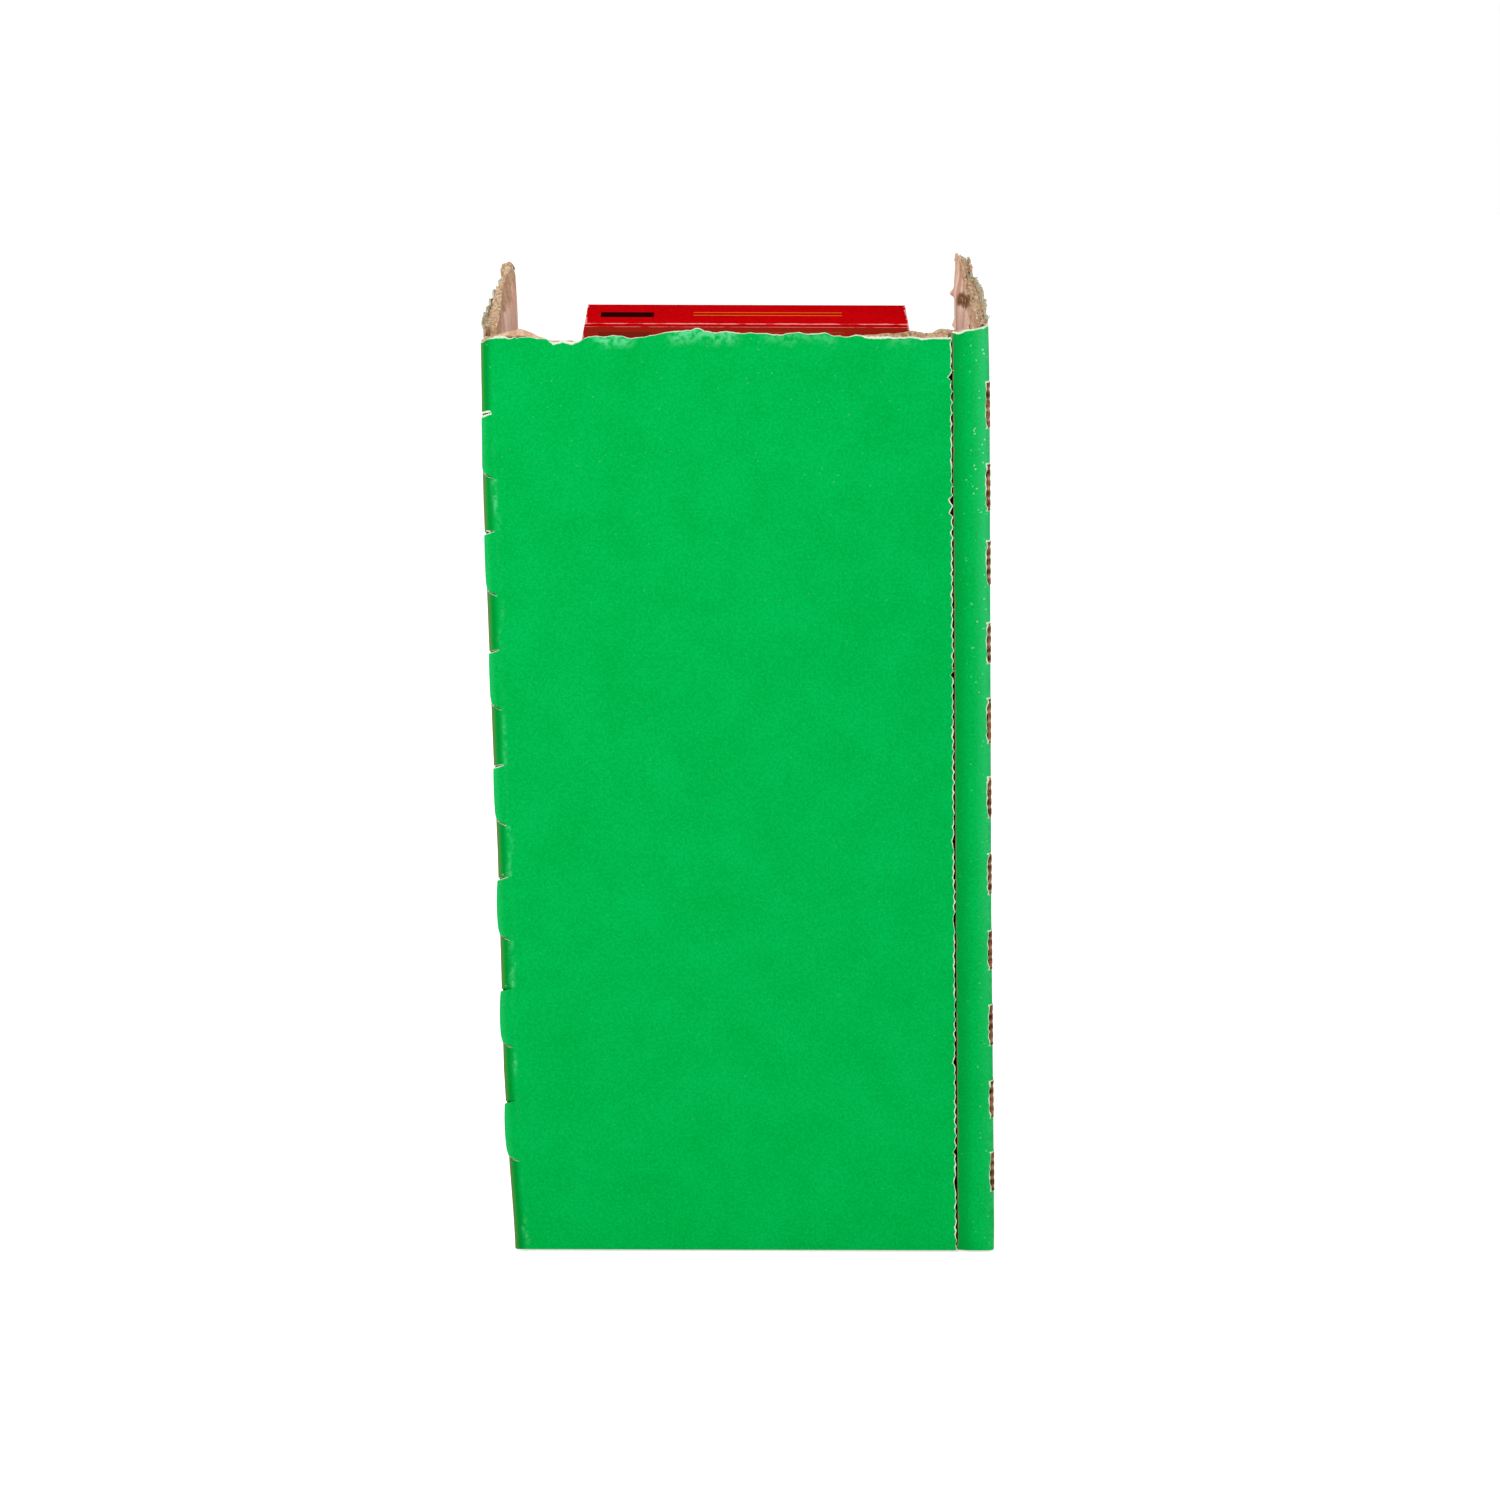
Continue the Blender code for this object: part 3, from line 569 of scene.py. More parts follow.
def add_strip_print():
    """The green return beside the seam, folded round the right corner, with the perforation cut out."""
    columns = list(RETURN_X + STRIP_COLUMNS) + steps(RETURN_X + 1.2 * MM, DASH_X - 0.5 * MM, 0.4 * MM)
    columns += list(DASH_X - DASH_COLUMNS)
    columns += steps(DASH_X + DASH_SLIT, RETURN_FOLD_X + RETURN_ARC, 0.22 * MM)
    columns += steps(RETURN_FOLD_X + RETURN_ARC + 0.4 * MM, RETURN_FOLD_X + RETURN_LENGTH, 0.5 * MM)
    sheet, column, row = add_sheet("seam_strip_print", columns, torn_rows(0.0, STRIP_ROW, DASHES))
    top = torn(np.minimum(column, RIGHT_X), STRIP_TEAR, 42, 0.7)
    z = lift(row, top)
    in_dash = inside(row, DASHES)
    beyond = column - RETURN_FOLD_X
    fold_x, fold_y = right_fold(beyond, in_dash)
    near_seam = 1.0 - ramp(column, RETURN_X, RETURN_X + 1.5 * MM)
    x = fold_x + near_seam * (strip_edge(z) - RETURN_X)
    cell = np.abs(np.sin(math.pi * z / DASH_CELL))
    at_dash = np.exp(-((column - DASH_X) / DASH_NEAR) ** 2) * in_dash * (column <= DASH_X)
    taper = 1.0 - ramp(end_distance(row, DASH_FEET + DASH_HEADS), 0.0, END_TAPER_REACH)
    x = x + at_dash * (rough("dash_edge", z) - CELL_BITE * cell + END_TAPER * taper) * MM
    in_hole = in_dash & (column > DASH_X + 0.01 * MM)
    x = x + HOLE_OUT * cell * in_hole * ramp(column, DASH_X, RIGHT_X)
    y = fold_y + SEAM_SINK * near_seam + in_hole * HOLE_IN * cell
    move_points(sheet, np.column_stack((x, y, z)))

    write_value(sheet, "rim", strip_rim(column, row, x, z, top, in_dash))
    write_value(sheet, "frayed", 0.0)
    # Painted shade in the flute cells behind each open dash
    write_value(sheet, "hollow", in_hole * np.clip(1.5 * cell ** 2 + rough("dash_hollow_shade", z), 0.1, 1.0))
    edge = ramp(beyond, -0.5 * MM, RETURN_ARC) * (beyond < RETURN_ARC * 1.3)
    at_hole = in_dash & (column > DASH_X - DASH_NEAR)
    write_value(sheet, "rub", np.where(at_hole, 0.1, edge * (0.25 + rough("strip_rub", z))))
    # Painted shade: the strip's print darkens towards its cut edge by the seam, where it curves in
    write_value(sheet, "crease", 0.75 * (1.0 - ramp(column, RETURN_X + 0.3 * MM, RETURN_X + 2.6 * MM)))
    scuff = ramp(column, RETURN_X + 1.0 * MM, RETURN_X + 4.0 * MM)
    scuff = scuff * (0.25 + 0.75 * ramp(z, 90.0 * MM, 140.0 * MM))
    write_value(sheet, "scuff", 0.08 + 0.45 * scuff)
    # Painted sheen: the strip's print grows paler towards the right fold and upwards
    pale = ramp(column, RETURN_X + 2.4 * MM, RIGHT_X) * ramp(z, -60.0 * MM, 175.0 * MM)
    write_value(sheet, "pale", 0.8 * pale)
    # The strip's real cut edge along the seam, where the board shows
    bare = (0.16 + rough("strip_bare", z)) * MM
    write_value(sheet, "bare", 1.0 - ramp(column - RETURN_X, 0.5 * bare, bare))

    mid_column, mid_dash = middles(sheet, column), middles(sheet, in_dash.astype(float))
    hole = (mid_dash > 0.9) & (mid_column > DASH_X) & (mid_column < DASH_X + DASH_SLIT)
    ends = (mid_dash > 0.1) & (mid_dash < 0.9) & (mid_column > DASH_X) & (mid_column < columns[-2])
    opened = (mid_dash > 0.9) & (mid_column > DASH_X + DASH_SLIT)
    paint(sheet, "green_print", "kraft_liner", "torn_white", "kraft_fluting")
    repaint(sheet, opened, 0, 3)
    cut_faces(sheet, hole | ends)
    thicken(sheet, LINER)
    middle_x, _, middle_z = face_middles(sheet).T
    repaint(sheet, (middle_x < RETURN_X + 0.8 * MM) & (middle_z < TEAR_FOOT), 2, 1)
    repaint(sheet, (middle_x > DASH_X + 0.1 * MM) & (middle_z < TEAR_FOOT), 2, 3)
    seat(sheet, "green_print", "seam_strip_printed_liner")


# Walls. Each table goes by the distance from the rear face, in millimetres

WALL_X = {"left_wall": LEFT_X, "right_wall": RIGHT_X}
WALL_SIDE = {"left_wall": -1.0, "right_wall": 1.0}
WALL_SEED = {"left_wall": 51, "right_wall": 71}
# How high the print stands, and how far it is pressed out
WALL_PRINT = {
    "left_wall": ((0, 175.0, 0), (5, 175.2, 0), (8.5, 175.6, 0), (12, 175.4, 0), (15.5, 174.6, -0.1),
                  (20.0, 175.0, 0), (22.5, 174.6, -0.1), (26.2, 173.7, -0.2), (27.8, 174.8, 0),
                  (31, 174.4, 0), (35, 173.1, -0.15), (38, 172.9, -0.2), (39.2, 174.3, 0), (42, 174.1, 0),
                  (46, 173.2, -0.1), (52, 172.5, -0.1), (58.6, 171.8, -0.2), (60.2, 172.8, 0),
                  (63.5, 172.4, -0.1), (66, 171.8, -0.15), (68.4, 172.2, -0.2), (69.4, 173.7, 0),
                  (71, 173.5, 0)),
    "right_wall": ((0, 175.6, 0), (2, 176.5, 0.1), (5, 176.3, 0.2), (9, 175.5, 0.3), (13, 175.3, 0.4),
                   (16, 176.2, 0.6), (20, 176.7, 0.75), (24, 175.4, 0.6), (28, 176.5, 0.75), (33, 176.4, 0.7),
                   (40, 176.0, 0.5), (46, 175.9, 0.3), (51, 175.3, 0.1), (53.5, 174.7, 0), (58, 175.2, 0),
                   (61, 175.8, 0.1), (64, 175.3, 0), (67.5, 176.0, 0.1), (69, 175.7, 0), (71, 175.8, 0)),
}
# How far the print leans in below its torn edge, so that its tongues flare out
WALL_FLARE = {
    "left_wall": ((0, 0.5), (11, 0.55), (15, 0.35), (62, 0.3), (67, 0.15), (71, 0.15)),
    "right_wall": ((0, 0.2), (13, 0.25), (20, 0.5), (35, 0.4), (71, 0.2)),
}
# How high the lining stands, and how far it is bent outwards
WALL_LINING = {
    "left_wall": ((0, 174.0, 0.1), (12, 174.6, 0.2), (20, 175.0, 0.3), (30, 175.4, 0.6), (40, 175.6, 0.8),
                  (52, 175.3, 0.8), (60, 174.7, 0.7), (66, 174.2, 0.6), (69.3, 173.6, 0.3), (71, 171.8, 0.1)),
    "right_wall": ((0, 175.2, 1.2), (12, 175.5, 1.3), (19, 175.4, 1.1), (22, 175.6, 0.9), (24.5, 175.9, 0.5),
                   (30, 175.9, 0.3), (35, 175.5, 0.4), (45, 175.8, 0.9), (60, 176.0, 1.1), (67, 176.2, 0.9),
                   (69.5, 176.2, 0.6), (71, 176.9, 0.3)),
}
# Pits in the torn plies, darkened with painted shade where they sink: place, share of the board's thickness,
# length, width as a share, and depth
WALL_PITS = {
    "left_wall": ((3.4, 0.3, 0.7, 0.5, 0.3), (26.0, 0.25, 1.3, 0.2, 0.9), (30.0, 0.68, 1.0, 0.42, 0.8),
                  (17.0, 0.5, 0.9, 0.3, 0.5), (44.0, 0.35, 1.5, 0.25, 0.6), (70.0, 0.45, 3.4, 0.85, -1.3)),
    "right_wall": ((3.0, 0.12, 1.6, 0.12, 1.2), (16.0, 0.33, 2.2, 0.22, 2.2), (27.0, 0.8, 3.6, 0.4, 2.2),
                   (24.0, 0.45, 1.4, 0.2, 1.4), (41.0, 0.5, 1.6, 0.25, 1.0), (53.5, 0.4, 1.6, 0.3, 1.1)),
}
# Across the right wall's lining runs a tear, its board darkened with painted shade: depth and height of its
# two ends
CROSS_TEAR = ((23.0, 175.7), (63.0, 168.9))
# Curls of lining at the right wall's far edge: height and reach
FAR_CURLS = ((168.65, 1.15), (162.6, 0.6), (175.2, 0.3), (156.3, 0.3), (144.0, 0.45), (107.1, 0.4),
             (70.2, 0.35))
FAR_COLUMNS = np.array([1.4, 0.9, 0.5, 0.2, 0.0]) * MM


def by_depth(y, table, column):
    at = np.array(table, float)
    return np.interp(y - REAR_Y, at[:, 0] * MM, at[:, column] * MM)


def wall_top(wall, table, line_name, y):
    seed = WALL_SEED[wall]
    uneven = rough(line_name, y, seed) + rough(line_name + "_fine", y, seed)
    line = by_depth(y, table[wall], 1) + uneven * MM
    return np.minimum(line, TOP_Z)


def print_top(wall, y):
    return wall_top(wall, WALL_PRINT, "wall_print", y)


def lining_top(wall, y):
    return wall_top(wall, WALL_LINING, "wall_lining", y)


def far_edge(z, seed):
    """The far torn edge of a wall: nicked, and a little longer at every other flute."""
    edge = OPEN_Y - (0.35 + np.abs(rough("wall_far_edge", z, seed))) * MM
    phase = np.abs((z / (2 * FLUTE_PITCH) + 0.5) % 1.0 - 0.5) * 2 * FLUTE_PITCH
    return np.minimum(edge + 0.25 * MM * np.maximum(0.0, 1.0 - phase / (0.8 * MM)), OPEN_Y)


def wall_sheet(name, wall, ply, step, row_step, top_of, facing):
    """A flat grid for one liner of a wall: its depths and heights, with a torn top and a torn far edge."""
    columns = steps(WALL_Y, OPEN_Y - 2.0 * MM, step) + list(OPEN_Y - FAR_COLUMNS)
    if WALL_SIDE[wall] * facing < 0:
        columns.reverse()
    sheet, column, row = add_sheet(name, columns, torn_rows(FOOT_Z, row_step, fine=True))
    top = top_of(wall, column)
    z = lift(row, top)
    y = column + ramp(column, OPEN_Y - 4.0 * MM, OPEN_Y) * (far_edge(z, WALL_SEED[wall] + ply) - OPEN_Y)
    return sheet, y, z, top


def add_wall_print(wall):
    side, seed = WALL_SIDE[wall], WALL_SEED[wall]
    sheet, y, z, top = wall_sheet(wall + "_print", wall, 0, 0.5 * MM, 1.6 * MM, print_top, 1.0)
    out = by_depth(y, WALL_PRINT[wall], 2) * ramp(z, top - 9.0 * MM, top)
    flare = by_depth(y, WALL_FLARE[wall], 1) * ramp(z, top - 9.0 * MM, top - 2.5 * MM)
    out = out - flare * (1.0 - ramp(z, top - 1.6 * MM, top - 0.1 * MM))
    move_points(sheet, np.column_stack((WALL_X[wall] + side * out, y, z)))
    rim = (top - z) / ((0.4 + rough("wall_white", y, seed)) * MM)
    rim = np.minimum(rim, (OPEN_Y - y) / ((0.5 + rough("wall_far_white", z, seed)) * MM))
    write_value(sheet, "rim", rim)
    write_value(sheet, "rub", 0.5 * (1.0 - ramp(top - z, 0.4 * MM, 3.0 * MM)))
    write_value(sheet, "frayed", 1.0 - ramp(top - z, 1.0 * MM, 2.0 * MM))
    write_value(sheet, "scuff", 0.05)
    for value in ("crease", "pale", "bare", "hollow"):
        write_value(sheet, value, 0.0)
    paint(sheet, "green_print", "liner_back", "liner_back")
    thicken(sheet, LINER)
    seat(sheet, "green_print", wall + "_printed_liner")


def far_curl(z):
    """How far the lining's far edge curls inwards: one fin for each curl, steep below and slow above."""
    reach = np.zeros(len(z))
    for height, size in FAR_CURLS:
        off = z - height * MM
        fin = np.where(off > 0, 1.0 - off / (1.5 * MM), 1.0 + off / (0.6 * MM))
        reach = np.maximum(reach, size * MM * np.clip(fin, 0.0, 1.0) ** 1.5)
    return reach


def cross_tear(y, z, seed):
    """How open the tear across the lining is at a point, from 0 to 1."""
    (start, start_z), (end, end_z) = CROSS_TEAR
    depth = (y - REAR_Y) / MM
    middle = (np.interp(depth, [start, end], [start_z, end_z]) + rough("cross_tear", y, seed)) * MM
    half = (1.15 + rough("cross_tear_width", y, seed)) * MM
    length = ramp(depth, start - 1.5, start + 2.0) * (1.0 - ramp(depth, end - 10.0, end))
    return length * np.exp(-((z - middle) / half) ** 4)


def add_wall_lining(wall):
    """A wall's kraft lining. The right one has a tear across it and curls at its far edge."""
    side, seed = WALL_SIDE[wall], WALL_SEED[wall]
    sheet, y, z, top = wall_sheet(wall + "_lining", wall, 1, 1.1 * MM, 0.5 * MM, lining_top, -1.0)
    opened = cross_tear(y, z, seed) * (side > 0)
    inwards = far_curl(z) * ramp(y, OPEN_Y - 2.2 * MM, OPEN_Y - 0.3 * MM) * (side > 0)
    bend = by_depth(y, WALL_LINING[wall], 2) * ramp(z, top - 7.0 * MM, top - 0.5 * MM) + 0.08 * MM * opened
    wave = rough("lining_wave", y, seed) * MM * ramp(z, 150.0 * MM, 172.0 * MM)
    move_points(sheet, np.column_stack((WALL_X[wall] - side * (BOARD - bend + inwards + wave), y, z)))
    deep = ((8.0 if side < 0 else 4.0) + rough("lining_frayed", y, seed)) * MM
    frayed = 1.0 - ramp(np.minimum(top - z, (OPEN_Y - y) * 4.0), 0.0, deep)
    write_value(sheet, "frayed", np.maximum(frayed, np.minimum(1.0, 1.6 * opened)))
    # Painted shade in the tear across the right lining
    dark = 1.6 * opened + rough("cross_tear_shade", y, seed) * (opened > 0.1)
    write_value(sheet, "hollow", np.clip(dark, 0.0, 1.0))
    paint(sheet, "kraft_wall", "kraft_liner", "torn_fibre")
    thicken(sheet, LINER)
    seat(sheet, "kraft_liner", wall + "_inner_liner")


def write_seam_shade(sheet, values):
    """Painted shade beside the seam, on the outer face alone: the second half of a thickened sheet's points.
    """
    write_value(sheet, "seam", np.concatenate((np.zeros(len(values)), values)))


def add_flat_lining(name, node, start, end, seed):
    """The inner liner of a piece that lies along the rear, kraft on both faces and darkened with painted
    shade beside the seam.
    """
    sheet, column, row = add_sheet(name, steps(end, start, 0.7 * MM), torn_rows(0.0, 2.5 * MM))
    top = torn(column, LINING_TEAR, seed, 0.45)
    z = lift(row, top)
    move_points(sheet, np.column_stack((column, np.full(len(z), REAR_Y + BOARD), z)))
    frayed = (1.0 - ramp(top - z, 0.2 * MM, 2.0 * MM)) * ramp(column, -34.0 * MM, -30.0 * MM)
    write_value(sheet, "frayed", frayed)
    seam_shade_mask = 1.0 - ramp(np.abs(column - (SEAM_X + RETURN_X) / 2), 0.9 * MM, 1.8 * MM)
    write_value(sheet, "hollow", 0.0)
    paint(sheet, "kraft_liner", "kraft_liner", "torn_fibre")
    thicken(sheet, LINER)
    write_seam_shade(sheet, seam_shade_mask * (z < top - SEAM_TOP))
    seat(sheet, "kraft_liner", node)


def add_glue_tab():
    """The crushed tab behind the seam, torn off with the panel."""
    low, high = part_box("glue_tab")
    start = low.x + LEAN * (high.z - LEAN_PIVOT)
    columns = steps(RIGHT_X - BOARD - 0.3 * MM, start, 0.5 * MM)
    sheet, column, row = add_sheet("glue_tab_torn", columns, torn_rows(low.z, 3.0 * MM))
    top = torn(column, LINING_TEAR, 65, 0.8) + 0.1 * MM
    top = top - 1.5 * MM * (1.0 - ramp(column, start, start + 2.7 * MM))
    z = lift(row, top)
    move_points(sheet, np.column_stack((column, np.full(len(z), high.y), z)))
    write_value(sheet, "frayed", 1.0 - ramp(top - z, 0.2 * MM, 2.5 * MM))
    # Painted shade where the glue tab shows through the seam's gap
    seam_shade_mask = ramp(column, SEAM_X - 1.5 * MM, SEAM_X - 0.6 * MM)
    seam_shade_mask = seam_shade_mask * (1.0 - ramp(column, RETURN_X + 0.4 * MM, RETURN_X + 1.2 * MM))
    write_value(sheet, "hollow", 0.0)
    paint(sheet, "kraft_liner", "kraft_liner", "torn_fibre")
    thicken(sheet, high.y - low.y)
    write_seam_shade(sheet, seam_shade_mask * (z < top - SEAM_TOP))
    seat(sheet, "kraft_liner", "glue_tab")


# Fluting

def flute_rows(foot, top):
    return steps(foot, top, FLUTE_PITCH / FLUTE_STEPS)


def flute_wave(along):
    return BOARD / 2 + FLUTE_SWING * np.sin(2 * math.pi * along / FLUTE_PITCH)


def finish_fluting(sheet, points, node):
    move_points(sheet, points)
    write_value(sheet, "frayed", ramp(points[:, 2], TEAR_LINE - 2.5 * MM, TEAR_LINE))
    write_value(sheet, "hollow", 0.0)
    paint(sheet, "kraft_fluting", "kraft_fluting", "kraft_fluting")
    thicken(sheet, FLUTE_PAPER, 0.0)
    seat(sheet, "kraft_fluting", node)


def add_flat_fluting(name, node, start, end, seed):
    sheet, column, row = add_sheet(name, steps(start, end, FLUTE_COLUMN), flute_rows(FLUTE_FOOT, TEAR_LINE))
    z = np.minimum(row, torn(column, LINING_TEAR, seed) - 0.4 * MM)
    finish_fluting(sheet, np.column_stack((column, REAR_Y + flute_wave(z), z)), node)


def add_wall_fluting(wall, start):
    columns = steps(start, OPEN_Y - FLUTE_FAR, FLUTE_COLUMN)
    sheet, column, row = add_sheet(wall + "_flutes", columns, flute_rows(FOOT_Z + FLUTE_FOOT, TEAR_LINE))
    z = np.minimum(row, by_depth(column, WALL_PRINT[wall], 1) - 1.2 * MM)
    x = WALL_X[wall] - WALL_SIDE[wall] * flute_wave(z)
    finish_fluting(sheet, np.column_stack((x, column, z)), wall + "_fluting")


def add_base_panel():
    """The base flap: printed liner below, fluting, and a kraft liner above, with a torn open edge."""
    low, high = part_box("base_panel_printed_liner")
    across = steps(LEFT_X, RIGHT_X, 1.0 * MM)
    plies = (("base_panel_print", "base_panel_printed_liner", 0.0, "green_print", -1),
             ("base_panel_lining", "base_panel_inner_liner", BOARD, "kraft_liner", 1))
    for ply, (name, node, height, finish, direction) in enumerate(plies):
        sheet, column, row = add_sheet(name, across, steps(low.y, high.y, 1.5 * MM)[::direction])
        edge = high.y - (0.3 + np.abs(rough("base_edge", column, ply))) * MM
        y = row + ramp(row, high.y - 5.0 * MM, high.y) * (edge - high.y)
        move_points(sheet, np.column_stack((column, y, np.full(len(y), height))))
        for value in ("rub", "crease", "scuff", "frayed", "pale", "bare", "hollow"):
            write_value(sheet, value, 0.0)
        write_value(sheet, "rim", (edge - y) / (0.4 * MM))
        paint(sheet, finish, "kraft_liner", "torn_fibre")
        thicken(sheet, LINER)
        seat(sheet, finish, node)
    sheet, column, row = add_sheet("base_panel_flutes", across[::3], flute_rows(low.y, high.y - FLUTE_FAR))
    finish_fluting(sheet, np.column_stack((column, row, flute_wave(row))), "base_panel_fluting")


# Torn fibre on top of the walls
BAND_ROWS, BAND_STEP, BAND_PAPER = 15, 0.3 * MM, 0.25 * MM
FLAKE_PAPER, FLAKE_ROOM, FLAKE_OUT = 0.07 * MM, 0.05 * MM, 0.8 * MM
FLAKE_SHARES = (0.0, 0.4, 0.75, 1.0)


def add_torn_band(name, start, end, place, low, swell, seed, pits=()):
    """A lumpy strip of torn plies that closes the top of a board between its liners."""
    across = np.linspace(0.0, 1.0, BAND_ROWS)
    sheet, column, row = add_sheet(name, steps(start, end, BAND_STEP), across)
    z = low(column, row) - 0.3 * MM * np.abs(2.0 * row - 1.0) ** 3
    hollow = np.zeros(len(column))
    for index, (along, share) in enumerate(zip(column, row)):
        lump = noise.fractal(Vector((along * 520.0, share * 1.9, seed * 3.7)), 0.7, 2.1, 4)
        z[index] += swell * lump * (0.35 + 0.65 * share)
        # Painted shade in the dips between lumps, which are also sunk below
        dip = max(0.0, noise.noise(Vector((along * 260.0, share * 1.5, seed * 1.9))) - 0.2)
        hollow[index] = min(1.0, 2.2 * dip * (1.0 - abs(2.0 * share - 1.0)))
    for at, share, long, wide, deep in pits:
        reach = np.hypot((column - REAR_Y - at * MM) / (long * MM), (row - share) / wide)
        pit = np.maximum(0.0, 1.0 - reach + rough("pits", column, seed))
        hollow = np.maximum(hollow, np.minimum(1.0, 2.0 * pit) * (deep > 0.0))
        z = z - deep * MM * np.minimum(1.0, 1.8 * pit)
    z = np.minimum(z - 0.7 * MM * hollow, TOP_Z)
    move_points(sheet, np.column_stack((*place(column, row), z)))
    write_value(sheet, "frayed", np.clip(0.75 + rough("torn_plies", column, seed), 0.0, 1.0))
    write_value(sheet, "hollow", hollow)
    paint(sheet, "torn_fibre", "torn_fibre", "torn_fibre")
    thicken(sheet, BAND_PAPER)
    seat(sheet, "kraft_fluting")


def add_flakes(name, roots, finish, seed, slot="kraft_fluting"):
    """Small curled slivers of torn paper, each from a root point along a direction, with its length."""
    rng = np.random.default_rng(seed)
    bm = bmesh.new()
    for root, direction, length in roots:
        along = (Vector(direction) + Vector(rng.uniform(-0.55, 0.55, 3))).normalized()
        side = along.cross(Vector(rng.normal(size=3))).normalized()
        curl = along.cross(side) * rng.uniform(-0.5, 0.5)
        width = length * rng.uniform(0.25, 0.55)
        rows = []
        for share in FLAKE_SHARES:
            middle = Vector(root) + length * (along * share + curl * share * share)
            half = side * width * (1.0 - 0.8 * share * share) * rng.uniform(0.35, 0.65)
            pair = [middle - half, middle + half]
            for point in pair:
                point.x = min(max(point.x, LEFT_X + FLAKE_ROOM), RIGHT_X + FLAKE_OUT)
                point.y = min(max(point.y, REAR_Y + FLAKE_ROOM), OPEN_Y - FLAKE_ROOM)
                point.z = min(point.z, TOP_Z - FLAKE_ROOM)
            rows.append([bm.verts.new(point) for point in pair])
        for lower, upper in zip(rows, rows[1:]):
            bm.faces.new((lower[0], lower[1], upper[1], upper[0]))
    mesh = bpy.data.meshes.new(name)
    bm.to_mesh(mesh)
    bm.free()
    flakes = bpy.data.objects.new(name, mesh)
    bpy.context.scene.collection.objects.link(flakes)
    write_value(flakes, "frayed", 1.0)
    write_value(flakes, "hollow", 0.0)
    paint(flakes, finish, finish, finish)
    thicken(flakes, FLAKE_PAPER, 0.0)
    seat(flakes, slot)


def add_wall_tears(wall):
    """The torn band along a wall's top, slivers standing on it, and a pale fringe along the printed edge."""
    side, seed = WALL_SIDE[wall], WALL_SEED[wall]
    first, last = REAR_Y + 1.0 * MM, OPEN_Y - 0.6 * MM

    def place(along, share):
        outer = 0.3 * MM + by_depth(along, WALL_FLARE[wall], 1) - by_depth(along, WALL_PRINT[wall], 2)
        inner = BOARD - 0.2 * MM - by_depth(along, WALL_LINING[wall], 2)
        return WALL_X[wall] - side * (outer + np.maximum(inner - outer, 0.2 * MM) * share), along

    def low(along, share):
        rise = share ** 0.75
        sunk = print_top(wall, along) - 1.5 * by_depth(along, WALL_FLARE[wall], 1)
        drop = 2.6 * MM * (1.0 - ramp(along - REAR_Y, 1.0 * MM, 4.2 * MM)) * (side < 0)
        return sunk * (1.0 - rise) + lining_top(wall, along) * rise - 0.15 * MM - drop

    band = wall + "_torn_plies"
    add_torn_band(band, WALL_Y - 2.2 * MM, last, place, low, 0.55 * MM, seed, WALL_PITS[wall])
    rng = np.random.default_rng(seed + 4)
    roots = []
    for y, share in zip(rng.uniform(first, last, 90), rng.uniform(0.1, 0.95, 90)):
        root = (float(place(y, share)[0]), y, float(low(y, share)) - 0.4 * MM)
        roots.append((root, (side * 0.1, 0.0, 1.0), rng.uniform(0.4, 1.1) * MM))
    for z in rng.uniform(20.0, 171.0, 70) * MM:
        root = (WALL_X[wall] - side * rng.uniform(0.4, 2.8) * MM, OPEN_Y - 0.9 * MM, z)
        roots.append((root, (0.0, 1.0, 0.0), rng.uniform(0.3, 0.8) * MM))
    add_flakes(wall + "_slivers", roots, "torn_fibre", seed + 5)
    roots = []
    for y in rng.uniform(first, last, 24):
        x = WALL_X[wall] + side * (float(by_depth(y, WALL_PRINT[wall], 2)) - 0.2 * MM)
        root = (x, y, float(print_top(wall, y)) - 0.5 * MM)
        roots.append((root, (side * 0.5, 0.0, 0.8), rng.uniform(0.4, 0.9) * MM))
    add_flakes(wall + "_print_fringe", roots, "liner_back", seed + 6, "green_print")


